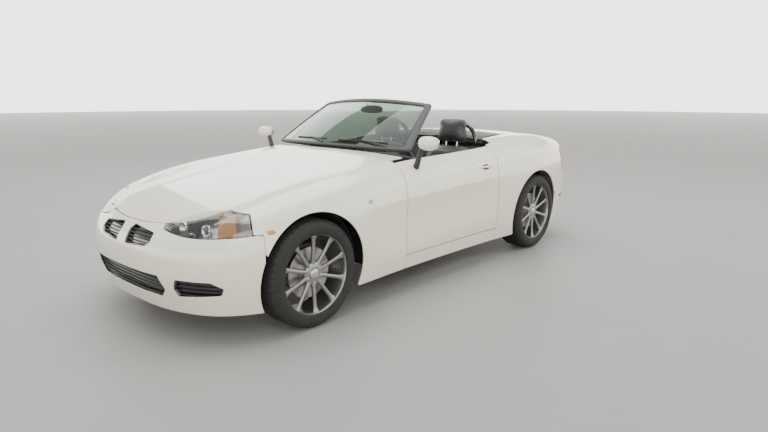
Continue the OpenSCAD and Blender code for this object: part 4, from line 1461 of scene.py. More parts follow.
    def mirror(self, side: Side) -> None:
        """Builds a door mirror with its foot and glass.

        Args:
            side: Its side.
        """
        f, body = self.form, f"door_{side.word}"
        y = float(f.plan(np.array([355.0]))[0])
        rings = []
        for t in np.linspace(-1, 1, 17):
            wide = math.sqrt(max(0.03, 1 - abs(t) ** 3.2))
            a = around(40)
            c, s = np.cos(a), np.sin(a)
            front = np.sign(c) * np.abs(c) ** 0.85 * np.where(c > 0, 50, 36) * wide
            rings.append(np.stack([349 + front - 3 * t, y + 30 + 69 * t + 0 * a, 1003 + 46 * wide * s], 1))
        shape = Shape().loft(rings).mirrored(side)
        rider = Rider("paint", (f"door_mirror_{side.word}",), body=body)
        rider.place(f"mirror_housing_{side.word}", shape)
        pane = ovals((y + 30, 1003), (60, 37), ((318, 1.04), (311, 1.04), (309, 0.98), (309, 0.5)), 40)
        Rider("mirror", body=body).place(f"mirror_glass_{side.word}", pane.mirrored(side))
        low = float(f.at_top(352, y - 72)[2])
        path = smooth_line([(352, y - 72, low - 6), (352, y - 58, low + 22), (352, y - 22, 968),
                            (350, y + 20, 985)])
        foot = Shape().tube(path, np.linspace(24, 13, len(path)), 16)
        Rider("plastic", body=body).place(f"mirror_foot_{side.word}", foot.mirrored(side))

    def build(self) -> None:
        """Builds both doors."""
        f = self.form
        us = span(f.door_rear, f.door_front, 12)
        vs = two_spans(f.door_bottom - 3 - f.hip, 10, 0, 0.7, 34)
        panel = Panel(f.sides(us, vs), self.trim, 5.0)
        for side in Side:
            panel.place(f"door_skin_{side.word}", Rider("paint", body=f"door_{side.word}"), side)
            self.frame_of(side)
            self.lining(side)
            self.handle(side)
            self.mirror(side)


def round_square(count: int, power: float = 0.6) -> list[tuple[float, float]]:
    """Pairs of cosine and sine round a circle pulled towards a square.

    Args:
        count: How many pairs.
        power: The lower it is, the squarer.

    Returns:
        The pairs.
    """
    turn = around(count)
    c, s = np.cos(turn), np.sin(turn)
    return list(zip(np.sign(c) * np.abs(c) ** power, np.sign(s) * np.abs(s) ** power))


def bar(path: np.ndarray, deep: float, high: float, power: float = 0.6) -> list[list[np.ndarray]]:
    """Rounded sections of a thin bar along a line that runs across the car."""
    return [[p + np.array([deep * c, 0, high * s]) for c, s in round_square(8, power)] for p in path]


def ovals(middle: Point, half: Point, steps: Sequence[Point], count: int, power: float = 0.6) -> Shape:
    """A rounded body whose sections stand across X.

    Args:
        middle: Y and Z of its middle.
        half: Half its width and half its height.
        steps: Pairs of X and the section's scale there.
        count: Points round a section.
        power: How square the sections are.

    Returns:
        The shape.
    """
    (y, z), (wide, high) = middle, half
    return Shape().loft([[(x, y + wide * k * c, z + high * k * s) for c, s in round_square(count, power)]
                         for x, k in steps])


def on_side(x0: float, x1: float, z0: float, z1: float, lift: Callable[[np.ndarray, np.ndarray], np.ndarray],
            thick: float) -> Shape:
    """A rounded patch that follows the left side of the body.

    Args:
        x0: Its rear end.
        x1: Its front end.
        z0: Its bottom.
        z1: Its top.
        lift: How far it stands proud, from places across it of -1 to 1.
        thick: Its thickness.

    Returns:
        The shape.
    """
    rings = [(0.05, 0), (0.4, 0), (0.7, 0), (0.92, 0), (1, 0.5), (1, 1), (0.5, 1)]
    share, deep = np.array(rings).T[:, :, None]
    c, s = np.array(round_square(44, 0.55)).T
    across, up = share * c, share * s
    p = FORM.at_sides((x0 + x1) / 2 + (x1 - x0) / 2 * across, (z0 + z1) / 2 + (z1 - z0) / 2 * up)
    out = FORM.normal(p)
    return Shape().loft(p + out * (lift(across, up) - thick * deep)[..., None])


def on_fan(end: End, a0: float, a1: float, low: Measure, high: Measure, depth: Measure, thick: float,
           cells: tuple[int, int] = (48, 16)) -> Shape:
    """A patch round the nose or tail at a depth that varies over it.

    Args:
        end: The end of the car.
        a0: First angle from straight ahead or behind.
        a1: Last angle.
        low: Lower edge for an array of angles.
        high: Upper edge for an array of angles.
        depth: Depth for arrays of places across and up, from 0 to 1.
        thick: Its thickness.
        cells: Steps across and up.

    Returns:
        The shape.
    """
    s, t = np.meshgrid(np.linspace(0, 1, cells[0]), np.linspace(0, 1, cells[1]))
    a = a0 + (a1 - a0) * s
    z = low(a) + (high(a) - low(a)) * t
    axle = FORM.front_axle if end is End.FRONT else FORM.rear_axle
    start = np.stack([0 * a + axle, 0 * a, z], -1)
    way = np.stack([end.value * np.cos(np.radians(a)), np.sin(np.radians(a)), 0 * a], -1)
    skin = FORM.hit(start, way)
    out = FORM.normal(skin)
    front = skin - out * depth(s, t)[..., None]
    return strip_between(front, front - out * thick)


# ---- lamps


@dataclass
class Lamps:
    """Headlights, rear lamps and small lamps."""

    form: BodyForm = FORM

    def spot(self, end: End, a: float, z: float, depth: float) -> tuple[np.ndarray, np.ndarray]:
        """A point under the lamp's cover and the way out from it.

        Args:
            end: The end of the car.
            a: Degrees from straight ahead or behind.
            z: Height.
            depth: Depth under the cover.

        Returns:
            The point and the direction.
        """
        p = self.form.fan(end, np.array([a]), np.array([z]))[0, 0]
        out = self.form.normal(p)
        return p - out * depth, unit([end.value * 1.0, 0.35 * out[1], 0.05])

    def headlight(self, side: Side) -> None:
        """Builds one headlight.

        Args:
            side: Its side.
        """
        f, word = self.form, side.word
        grid = f.fan(End.FRONT, span(26, 65, 0.7), span(570, 720, 5))
        cover = Panel(grid, f.headlight, 4.0, 1.6)
        nodes = ("headlights",) if side is Side.LEFT else ()
        cover.place(f"headlight_cover_{word}", Rider("clear", nodes), side)

        def bowl(s: np.ndarray, t: np.ndarray) -> np.ndarray:
            """Depth of the housing."""
            return 6 + 46 * (1 - (2 * s - 1) ** 8) * (1 - (2 * t - 1) ** 6)

        low, high = (lambda a: f.lamp_bottom(a) + 2), (lambda a: f.lamp_top(a) - 2)
        housing = on_fan(End.FRONT, 27.4, 63.6, low, high, bowl, 3.0, (64, 24)).mirrored(side)
        Rider("satin").place(f"headlight_housing_{word}", housing)
        shade = on_fan(End.FRONT, 28.5, 43.5, lambda a: f.lamp_bottom(a) + 5, lambda a: f.lamp_top(a) - 5,
                       lambda s, t: 10 + 26 * (1 - (2 * s - 1) ** 4) * (1 - (2 * t - 1) ** 4), 4.0, (24, 20))
        Rider("gloss").place(f"headlight_shade_{word}", shade.mirrored(side))
        for k, (a, r) in enumerate(((37.0, 31), (47.5, 34))):
            at, way = self.spot(End.FRONT, a, 648, 40 if k else 30)
            ring = [(r * 0.8, 8), (r, 14), (r, 22), (r * 0.94, 24), (r * 0.84, 20), (r * 0.78, 12)]
            Rider("chrome").place(
                f"headlight_ring_{k + 1}_{word}", Shape().turned(at, way, ring, 48).mirrored(side))
            lens = [(r * 0.78, 8), (r * 0.78, 12), (r * 0.68, 20), (r * 0.45, 26), (r * 0.2, 28.5),
                    (0.6, 29)]
            Rider("bulb").place(
                f"headlight_projector_{k + 1}_{word}", Shape().turned(at, way, lens, 48).mirrored(side))
        amber = on_fan(End.FRONT, 52.0, 58.5, lambda a: f.lamp_bottom(a) + 8, lambda a: f.lamp_top(a) - 12,
                       lambda s, t: 8 + 12 * np.abs(2 * t - 1) ** 2, 8.0, (20, 14)).mirrored(side)
        Rider("amber").place(f"front_indicator_{word}", amber)
        brow = on_fan(End.FRONT, 30, 54, lambda a: f.lamp_top(a) - 24, lambda a: f.lamp_top(a) - 10,
                      lambda s, t: 14 + 8 * t, 5.0, (40, 6)).mirrored(side)
        Rider("satin").place(f"headlight_brow_{word}", brow)

    def tail_lamp(self, side: Side) -> None:
        """Builds one rear lamp.

        Args:
            side: Its side.
        """
        f, word = self.form, side.word
        cover = Panel(f.fan(End.REAR, span(33, 60, 0.7), span(636, 860, 5)), f.rear_lamp, 7.0, 1.6)
        nodes = ("tail_lights",) if side is Side.LEFT else ()
        cover.place(f"rear_lamp_lens_{word}", Rider("red", nodes), side)
        housing = on_fan(End.REAR, 34.4, 58.6, lambda a: 0 * a + 645, lambda a: f.rear_lamp_top(a) - 3,
                         lambda s, t: 9 + 30 * (1 - (2 * s - 1) ** 8) * (1 - (2 * t - 1) ** 8),
                         3.0, (40, 30))
        Rider("gloss").place(f"rear_lamp_housing_{word}", housing.mirrored(side))
        for k, (z, r, finish) in enumerate(((792, 34, "red"), (722, 28, "amber"), (672, 20, "white_lens"))):
            at, way = self.spot(End.REAR, 46.0, z, 34)
            ring = [(r * 0.86, 4), (r, 8), (r, 16), (r * 0.9, 18), (r * 0.84, 12)]
            Rider("chrome").place(
                f"rear_lamp_ring_{k + 1}_{word}", Shape().turned(at, way, ring, 40).mirrored(side))
            unit_shape = [(r * 0.84, 5), (r * 0.84, 10), (r * 0.6, 15), (0.6, 17)]
            Rider(finish, slot="red_lens").place(
                f"rear_lamp_unit_{k + 1}_{word}", Shape().turned(at, way, unit_shape, 40).mirrored(side))

    def small(self, side: Side) -> None:
        """Builds the side marker, the side flasher and the rear reflector.

        Args:
            side: Its side.
        """
        word = side.word
        marker = on_side(1566, 1612, 597, 621, lambda s, t: 2.5 - 1.5 * s * s - t * t, 5.0)
        Rider("amber").place(f"side_marker_{word}", marker.mirrored(side))
        flasher = on_side(852, 888, 668, 694, lambda s, t: 3 - s * s - t * t, 5.0)
        Rider("teal").place(f"side_flasher_{word}", flasher.mirrored(side))
        glow = on_fan(End.REAR, 52, 61, lambda a: 0 * a + 388, lambda a: 0 * a + 412,
                      lambda s, t: 0 * s - 1.6, 4.0, (20, 6))
        Rider("red").place(f"rear_reflector_{word}", glow.mirrored(side))

    def high_lamp(self) -> None:
        """Builds the third brake lamp, on the boot lid."""
        xs, ys = span(-1196, -1182, 5), span(-150, 150, 12)
        skin = FORM.top(xs, ys)
        out = FORM.normal(skin)
        Rider("red", body="boot_lid").place("high_brake_lamp", strip_between(skin + out * 3, skin - out * 2))

    def build(self) -> None:
        """Builds every lamp."""
        self.high_lamp()
        for side in Side:
            self.headlight(side)
            self.tail_lamp(side)
            self.small(side)


# ---- nose


@dataclass
class Grilles:
    """The grille and intake inserts with their bars."""

    coachwork: Coachwork

    def insert(self, name: str, outline: Sequence[Point], bar_gap: float, depth: float) -> None:
        """Builds one insert: a dark backing and bars across it.

        Args:
            name: The opening's name.
            outline: Its corners across and up.
            bar_gap: Distance between bars.
            depth: How far behind the skin it sits.
        """
        line = np.asarray(outline, float)
        (y0, z0), (y1, z1) = line.min(0) - 6, line.max(0) + 6
        y, z = np.meshgrid(span(y0, y1, 14), span(z0, z1, 10))
        start = np.stack([0 * y + FORM.front_axle, y, z], -1)
        back = FORM.hit(start, np.array([1.0, 0, 0])) - [depth + 12, 0, 0]
        nodes = ("front_grilles",) if name == "grille_left" else ()
        Rider("gloss", nodes).place(f"{name}_backing", strip_between(back, back - [3, 0, 0]))
        bars = Shape()
        for z in np.arange(line[:, 1].min() + bar_gap * 0.6, line[:, 1].max(), bar_gap):
            ys = span(y0, y1, 8)
            ys = ys[inside_of(outline, np.stack([ys, 0 * ys + z], 1)) < 6]
            if len(ys) > 3:
                path = FORM.at_nose(ys, z) - [depth, 0, 0]
                bars.loft(bar(path, 6, 2.6, 0.8))
        Rider("plastic").place(f"{name}_bars", bars)

    def surround(self, name: str, outline: Sequence[Point]) -> None:
        """Builds the trim round an opening.

        Args:
            name: The opening's name.
            outline: Its corners across and up.
        """
        line = smooth_corners(np.asarray(outline, float), 10)
        ways = line - line.mean(0)
        ways = ways / np.linalg.norm(ways, axis=1)[:, None]
        rings = []
        for grow, sink in ((-1.5, 3), (-1.5, 20), (-7, 20), (-9, 9), (-7, 3)):
            q = line + ways * grow
            rings.append(FORM.at_nose(q[:, 0], q[:, 1]) - [sink, 0, 0])
        Rider("gloss").place(f"{name}_surround", Shape().loft(rings, round_trip=True))

    def build(self) -> None:
        """Builds every insert."""
        for name, outline in self.coachwork.openings.items():
            self.insert(name, outline, 17.0 if "grille" in name else 24.0, 15.0)
            self.surround(name, outline)


def smooth_corners(line: np.ndarray, each: int) -> np.ndarray:
    """A closed outline with more points on its straight parts and softened corners.

    Args:
        line: Its corners.
        each: Points on each part.

    Returns:
        The points.
    """
    dense = []
    for a, b in zip(line, np.roll(line, -1, 0)):
        dense += [a + (b - a) * t for t in np.linspace(0.06, 0.94, each)]
    return np.array(dense)


# ---- windscreen


@dataclass
class Windscreen:
    """Frame, glass, seals, wipers and interior mirror."""

    base_x: float = 550.0
    half_base: float = 705.0
    half_top: float = 560.0
    head: float = 1290.0

    def point(self, a: np.ndarray, b: np.ndarray, n: np.ndarray) -> np.ndarray:
        """A point of the screen.

        Args:
            a: Place across, from -1 to 1.
            b: Place up, from 0 to 1.
            n: Millimetres in front of the middle of the glass.

        Returns:
            The points.
        """
        a, b = np.broadcast_arrays(np.asarray(a, float), np.asarray(b, float))
        foot = np.stack([self.base_x - 225 * a * a, self.half_base * a, 958 - 22 * a * a], -1)
        top = np.stack([self.base_x - 585 - 62 * a * a, self.half_top * a, self.head - 10 - 38 * a * a], -1)
        bulge = (n + 14 * np.sin(math.pi * b) * (1 - 0.5 * a * a))[..., None] * np.array([0.49, 0, 0.87])
        return foot + (top - foot) * b[..., None] + bulge

    def loop(self, a: float, low: float, high: float, n: float, corner: float = 0.12) -> np.ndarray:
        """A loop round the screen with rounded corners.

        Args:
            a: Its half width.
            low: Its lower edge.
            high: Its upper edge.
            n: Its place in front of the glass.
            corner: Size of its corners.

        Returns:
            The loop's points.
        """
        pts = []
        side, top, bottom = a - corner * 0.6, high - corner, low + corner
        for k, (ca, cb) in enumerate(((side, top), (-side, top), (-side, bottom), (side, bottom))):
            for d in np.radians(np.arange(90 * k, 90 * k + 91, 11.25)):
                pts.append((ca + corner * 0.6 * math.cos(d), cb + corner * math.sin(d)))
        dense = []
        for p, q in zip(pts, pts[1:] + pts[:1]):
            steps = 12 if math.dist(p, q) > 0.3 else 1
            way = np.array(q) - np.array(p)
            dense += [np.array(p) + way * t for t in np.linspace(0, 1, steps, endpoint=False)]
        dense = np.array(dense)
        return self.point(dense[:, 0], dense[:, 1], np.full(len(dense), n))

    def frame_piece(self) -> None:
        """Builds the frame."""
        loops = []
        for grow, n in ((0, -4), (0, 4), (0.012, 9), (0.03, 10), (0.062, 8), (0.065, 3), (0.065, -12),
                        (0.05, -18), (0.02, -18), (0.003, -12)):
            loops.append(self.loop(1 - grow, grow * 0.55, 1 - grow * 1.08, n, 0.05 + grow * 0.5))
        Rider("plastic", ("windscreen_frame",)).place("screen_frame", Shape().loft(loops, round_trip=True))

    def glass(self) -> None:
        """Builds the pane."""
        a, b = np.meshgrid(np.linspace(-0.932, 0.932, 70), np.linspace(0.038, 0.927, 34))
        front = self.point(a, b, np.full(a.shape, 2.6))
        back = self.point(a, b, np.full(a.shape, -2.6))
        Rider("screen", ("windscreen_glass",)).place("screen_pane", strip_between(front, back))
        seal = [self.loop(0.936 - g, 0.034 + g, 0.93 - g, n, 0.06)
                for g, n in ((0, 5), (0.008, 5.5), (0.012, 3), (0, 3))]
        Rider("rubber").place("screen_seal", Shape().loft(seal, round_trip=True))

    def wipers(self) -> None:
        """Builds two wipers with blades, arms and pivots."""
        for k, y in enumerate((-330.0, 170.0)):
            ys = span(y, y + 380, 19)
            blade = self.point(ys / self.half_base, np.full(len(ys), 0.10), np.full(len(ys), 8.0))
            rubber = Shape().loft(bar(blade, 3, 5))
            nodes = ("wipers",) if k == 0 else ()
            Rider("rubber", nodes).place(f"wiper_blade_{k + 1}", rubber)
            foot = self.point((y + 370) / self.half_base, 0.045, 9.0)
            arm = smooth_line([foot, self.point((y + 280) / self.half_base, 0.085, 13.0),
                               self.point((y + 190) / self.half_base, 0.108, 13.0)])
            shape = Shape().tube(arm, np.linspace(6, 3.5, len(arm)), 10)
            shape.turned(foot - np.array([0, 0, 4]), (0.3, 0, 1), [(11, 0), (11, 7), (8, 11), (0.5, 12)], 20)
            Rider("plastic").place(f"wiper_arm_{k + 1}", shape)

    def mirror(self) -> None:
        """Builds the interior mirror and its stem."""
        line = [self.point(0, 0.93, -6.0), self.point(0, 0.9, -24.0), (-30, 0, 1205)]
        stem = Shape().tube(smooth_line(line), 6)
        Rider("plastic").place("cabin_mirror_stem", stem)
        sizes = ((-20, 0.6), (-24, 0.94), (-34, 1.0), (-40, 1.0), (-42, 0.96))
        case = ovals((0, 1198), (118, 30), sizes, 44, 0.7)
        Rider("plastic").place("cabin_mirror_case", case)
        pane = ovals((0, 1198), (113, 26), ((-42.2, 1.0), (-43.4, 1.0), (-43.8, 0.96)), 44, 0.7)
        Rider("mirror").place("cabin_mirror_glass", pane)

    def build(self) -> None:
        """Builds the whole windscreen."""
        self.frame_piece()
        self.glass()
        self.wipers()
        self.mirror()


# ---- cabin


@dataclass
class Cabin:
    """Dashboard, console, steering wheel and floor mats."""

    def dashboard(self) -> None:
        """Builds the dashboard with its hood, dials, vents and centre panel."""
        section = smooth_line([(465, 645), (462, 838), (320, 848), (262, 898), (170, 884), (128, 800),
                               (158, 702), (265, 642)], 5, True)

        def shape_at(y: float, pts: np.ndarray) -> np.ndarray:
            """Sets the top back between the hood and the far side."""
            low = 14 * (1 - float(bell(np.array(y - SEAT_Y), 190)))
            return pts - np.stack([0 * pts[:, 0], low * ramp(pts[:, 1], 780, 890)], 1)

        ys = [-672, -668, -655, *span(-630, 630, 35), 655, 668, 672]
        body = prism_between(section, ys, lambda y: 26 * max(0.0, (abs(y) - 630) / 42) ** 2, shape_at)
        Rider("cabin", ("dashboard",)).place("dash_body", body)
        hood = [[(x, SEAT_Y + 155 * c, 850 + h * max(0.0, s) + 4 * min(0.0, s))
                 for c, s in round_square(36, 0.8)]
                for x, h in ((268, 34), (240, 44), (180, 46), (160, 44), (160, 38), (184, 36))]
        Rider("cabin").place("binnacle_hood", Shape().loft(hood))
        for k, y in enumerate((300.0, 430.0)):
            at = np.array([148.0, y, 838.0])
            face = Shape().turned(at, (-1, 0, 0.15), [(46, 0), (46, 2), (0.5, 2.4)], 48)
            Rider("dial").place(f"dial_face_{k + 1}", face)
            rim = Shape().turned(at, (-1, 0, 0.15), [(46, 0), (50, 2), (50, 8), (46, 9), (45, 4)], 48)
            Rider("satin").place(f"dial_rim_{k + 1}", rim)
            ticks = Shape()
            for d in np.radians(np.arange(-40, 221, 20)):
                spot = at + np.array([-3.0, 38 * math.cos(d), 38 * math.sin(d)])
                ticks.block(spot - [0.6, 1.4, 1.4], spot + [0.6, 1.4, 1.4], 0.4)
            Rider("marks").place(f"dial_ticks_{k + 1}", ticks)
        for k, y in enumerate((-560.0, -110.0, 110.0, 575.0)):
            at = np.array([136.0, y, 800.0])
            ring = Shape().turned(at, (-1, 0, 0.1), [(30, -6), (38, 0), (38, 7), (33, 9), (30, 4)], 40)
            Rider("satin").place(f"vent_ring_{k + 1}", ring)
            slats = Shape()
            for d in (-18, -6, 6, 18):
                slats.block(at + [-3, -30, d - 2], at + [1, 30, d + 2], 1.2)
            Rider("plastic").place(f"vent_slats_{k + 1}", slats)
        panel = Shape().block((120, -92, 690), (150, 92, 770), 6)
        Rider("gloss").place("centre_panel", panel)
        knobs = Shape()
        for y in (-60, 0, 60):
            knobs.turned((122, y, 712), (-1, 0, 0), [(15, 0), (15, 8), (12, 12), (0.5, 12.5)], 28)
        Rider("satin").place("heater_knobs", knobs)

    def console(self) -> None:
        """Builds the console, gear lever, handbrake and cup rings."""
        outline = [(-553, 333), (343, 333), (293, 558), (-57, 520), (-343, 468), (-553, 468)]
        section = smooth_corners(np.array(outline), 8)
        body = prism_between(section, [-88, -86, -80, -70, 0, 70, 80, 86, 88],
                             lambda y: 12 * max(0.0, (abs(y) - 70) / 18) ** 2, lambda y, pts: pts)
        Rider("cabin", ("centre_console",)).place("console_body", body)
        gaiter = Shape().turned((-55, 0, 500), (-0.04, 0, 1),
                                [(52, 12), (50, 26), (36, 44), (22, 66), (12, 90), (9, 96)], 36)
        Rider("leather").place("gear_gaiter", gaiter)
        lever = Shape().turned((-55, 0, 560), (-0.04, 0, 1), [(6, 0), (6, 64), (14, 72), (24, 84), (26, 98),
                                                              (19, 112), (0.5, 117)], 32)
        Rider("leather").place("gear_lever", lever)
        line = smooth_line([(-330, 52, 488), (-250, 52, 512), (-130, 52, 540), (-110, 52, 545)])
        brake = Shape().tube(line, np.concatenate([np.full(16, 9.0), np.linspace(12, 13, 9)]), 14)
        Rider("leather").place("handbrake", brake)
        cups = Shape()
        for x in (-420, -505):
            cups.turned((x, -8, 466), (0, 0, 1),
                        [(34, 0), (38, 4), (38, 7), (34, 8), (33, 2), (20, 1), (0.5, 1)], 40)
        Rider("satin").place("cup_rings", cups)

    def wheel(self) -> None:
        """Builds the steering wheel."""
        centre = np.array([35.0, SEAT_Y, 790.0])
        tilt = math.radians(22)
        axis = np.array([-math.cos(tilt), 0, math.sin(tilt)])
        side = np.array([0.0, 1.0, 0.0])
        up = np.cross(axis, side)
        up = up if up[2] > 0 else -up
        turn = around(96)
        rim_line = [centre + 167 * (side * math.cos(a) + up * math.sin(a)) for a in turn]
        rim = Shape().tube(rim_line, 14.5, 18, closed=True)
        Rider("leather", ("steering_wheel",), body="steering_wheel").place("steering_rim", rim)
        profile = [(54, 0), (62, 12), (62, 34), (52, 46), (30, 52), (0.5, 54)]
        pad = Shape().turned(centre - axis * 34, axis, profile, 48)
        Rider("cabin", body="steering_wheel").place("steering_hub", pad)
        spokes = Shape()
        for a in np.radians((0, 180, 270)):
            way = side * math.cos(a) + up * math.sin(a)
            across = np.cross(way, axis)
            rings = []
            for r, w, d, back in ((44, 26, 8, -6), (80, 20, 6, -8), (120, 15, 5, -5), (160, 17, 6, 0)):
                rings.append([centre + way * r + axis * (back + d * s) + across * w * c
                              for c, s in round_square(16, 0.7)])
            spokes.loft(rings)
        Rider("satin", body="steering_wheel").place("steering_spokes", spokes)

    def mats(self) -> None:
        """Builds the carpets on the floor."""
        for side in Side:
            y = SEAT_Y * side.value
            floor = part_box("floor_pan")[1][2] / MM
            top = float(min(floor, 200))
            mat = Shape().block((90, y - 190, top + 1), (560, y + 190, top + 9), 3.5)
            Rider("carpet").place(f"floor_mat_{side.word}", mat)

    def build(self) -> None:
        """Builds the cabin's fixed parts."""
        self.dashboard()
        self.console()
        self.wheel()
        self.mats()


class Puff:
    """Inflates a cushion a little with a cloth simulation."""

    def __init__(self, piece: Piece, cap: float) -> None:
        """Keeps the piece.

        Args:
            piece: The cushion, with nothing open in its mesh.
            cap: The furthest that a point may move, in millimetres.
        """
        self.piece, self.cap = piece, cap

    def modify(self, kind: str, **settings: object) -> None:
        """Adds one modifier and applies it.

        Args:
            kind: The modifier's type.
            settings: Its properties.
        """
        m = self.piece.modifiers.new(kind.lower(), kind)
        for key, value in settings.items():
            setattr(m, key, value)
        self.bake()

    def bake(self) -> None:
        """Puts the shape that the modifiers give into the mesh."""
        graph = bpy.context.evaluated_depsgraph_get()
        mesh = bpy.data.meshes.new_from_object(self.piece.evaluated_get(graph))
        self.piece.modifiers.clear()
        self.piece.data = mesh

    def run(self) -> None:
        """Remeshes, inflates, caps the movement, and smooths."""
        scene = bpy.context.scene
        self.modify("REMESH", mode="VOXEL", voxel_size=0.006)
        count = len(self.piece.data.vertices)
        rest = np.zeros(count * 3)
        self.piece.data.vertices.foreach_get("co", rest)
        cloth = self.piece.modifiers.new("cloth", "CLOTH")
        cloth.settings.use_pressure = True
        cloth.settings.uniform_pressure_force = 4.0
        cloth.settings.effector_weights.gravity = 0.0
        cloth.point_cache.frame_start, cloth.point_cache.frame_end = 1, SWELL_FRAMES
        for number in range(1, SWELL_FRAMES + 1):
            scene.frame_set(number)
        self.bake()
        now = np.zeros(count * 3)
        self.piece.data.vertices.foreach_get("co", now)
        rest, now = rest.reshape(-1, 3), now.reshape(-1, 3)
        way = now - rest
        size = np.linalg.norm(way, axis=1)[:, None]
        kept = rest + way * np.minimum(1.0, self.cap * MM / np.maximum(size, 1e-9))
        self.piece.data.vertices.foreach_set("co", kept.ravel())
        self.piece.data.update()
        scene.frame_set(1)
        self.modify("SMOOTH", factor=0.5, iterations=4)
        self.modify("SUBSURF", levels=1, render_levels=1)
        self.modify("DECIMATE", ratio=0.22)
        self.piece.data.shade_smooth()


@dataclass
class Seats:
    """Two bucket seats with headrests, seams, posts and bases."""

    y: float = SEAT_Y

    def soft(self, name: str, section: Sequence[Point], half: float,
             bolster: Callable[[float, np.ndarray], np.ndarray], cap: float,
             nodes: tuple[str, ...] = ()) -> Piece:
        """Builds one cushion on the left seat's place.

        Args:
            name: Its name.
            section: Its side view.
            half: Half its width.
            bolster: Shapes the section across its width.
            cap: How far it may swell.
            nodes: The nodes that it stands for.

        Returns:
            The piece.
        """
        ys = np.sin(np.linspace(-math.pi / 2, math.pi / 2, 21)) * (half - cap * 0.4)
        line = smooth_line(section, 5, True)

        def draw_in(y: float) -> float:
            """How far the section is drawn in."""
            return 6 + 38 * max(0.0, abs(y) / half - 0.72) ** 2 / 0.0784

        shape = prism_between(line, ys, draw_in, bolster)
        shape = shape.moved(lambda p: p + [0, self.y, 0])
        piece = Rider("leather", nodes).place(name, shape)
        Puff(piece, cap).run()
        return piece

    def copy(self, piece: Piece, name: str, nodes: tuple[str, ...] = ()) -> Piece:
        """Copies a piece from the left seat to the right one.

        Args:
            piece: The left piece.
            name: The right piece's name.
            nodes: The nodes that it stands for.

        Returns:
            The new piece.
        """
        mesh = piece.data.copy()
        mesh.transform(Matrix.Translation((0, -2 * self.y * MM, 0)))
        return Rider("leather", nodes).dress(bpy.data.objects.new(name, mesh))

    def build(self) -> None:
        """Builds both seats."""
        cushion = [(-30, 310), (-20, 415), (-58, 458), (-220, 432), (-412, 425), (-445, 380), (-432, 310)]
        back = [(-462, 340), (-432, 440), (-492, 660), (-556, 876), (-588, 912), (-642, 894), (-676, 862),
                (-642, 640), (-610, 440), (-574, 340)]
        rest = [(-582, 942), (-594, 1090), (-618, 1118), (-670, 1112), (-680, 1076), (-668, 942)]

        def cushion_shape(y: float, pts: np.ndarray) -> np.ndarray:
            """Raises the side bolsters of the seat."""
            lift = 26 * float(bell(np.array(abs(y) - 200), 46)) - 12 * float(bell(np.array(y), 130))
            return pts + np.stack([0 * pts[:, 0], lift * ramp(pts[:, 1], 380, 440)], 1)

        def back_shape(y: float, pts: np.ndarray) -> np.ndarray:
            """Brings the side bolsters of the backrest forward and narrows its top.

            Args:
                y: Place across the seat.
                pts: The section there.

            Returns:
                The changed section.
            """
            lift = 30 * float(bell(np.array(abs(y) - 186), 44)) - 10 * float(bell(np.array(y), 120))
            front = ramp(pts[:, 0] - np.interp(pts[:, 1], [330, 900], [-520, -640]), 0, 60)
            fade = 1 - ramp(pts[:, 1], 760, 900)
            down = 0 * pts[:, 0] - 18 * (abs(y) / 230) ** 3 * (1 - fade)
            return pts + np.stack([lift * front * (0.35 + 0.65 * fade), down], 1)

        left = [self.soft("seat_cushion_left", cushion, 232, cushion_shape, 22.0, ("seat_left",)),
                self.soft("seat_back_left", back, 222, back_shape, 22.0),
                self.soft("headrest_left", rest, 130, lambda y, pts: pts, 12.0)]
        names = ("seat_cushion_right", "seat_back_right", "headrest_right")
        stands_for = (("seat_right",), (), ())
        right = [self.copy(*row) for row in zip(left, names, stands_for)]
        self.trim(left)

    def trim(self, left: Sequence[Piece]) -> None:
        """Builds the seams, posts and bases of both seats.

        Args:
            left: The left seat's cushion, back and headrest.
        """
        graph = bpy.context.evaluated_depsgraph_get()
        trees = [BVHTree.FromObject(p, graph) for p in left[:2]]
        seams = Shape()

        def lay(tree: object, points: Sequence[Point], way: Point) -> None:
            """Lays one seam on a cushion.

            Args:
                tree: The surface that it lies on.
                points: Where its rays start.
                way: Where they go.
            """
            path = []
            for p in points:
                hit = tree.ray_cast(Vector(p) * MM, Vector(way))[0]
                if hit is not None:
                    path.append(np.array(hit) / MM)
            if len(path) > 4:
                seams.tube(path, 1.8, 6)

        y = self.y
        for side in (-1, 1):
            lay(trees[0], [(x, y + side * 148, 600) for x in span(-60, -400, 10)], (0, 0, -1))
            lay(trees[1], [(-300, y + side * 138, z) for z in span(470, 860, 10)], (-1, 0, 0))
        for x in (-110, -180, -250, -320):
            lay(trees[0], [(x, y + o, 600) for o in span(-146, 146, 8)], (0, 0, -1))
        for z in (540, 610, 680, 750, 820):
            lay(trees[1], [(-300, y + o, z) for o in span(-136, 136, 8)], (-1, 0, 0))
        for side in Side:
            shift = 0 if side is Side.LEFT else -2 * y
            thread = seams.moved(lambda p: p + [0, shift, 0])
            Rider("thread").place(f"seat_seams_{side.word}", thread)
            posts = Shape()
            for o in (-55, 55):
                line = [(x, y + o + shift, z) for x, z in ((-620, 892), (-622, 925), (-624, 958))]
                posts.tube(line, 6.5, 14)
            Rider("chrome").place(f"headrest_posts_{side.word}", posts)
            base = Shape().block((-415, y - 190 + shift, 195), (-55, y + 190 + shift, 312), 10)
            Rider("plastic").place(f"seat_base_{side.word}", base)


# ---- hood and hoops


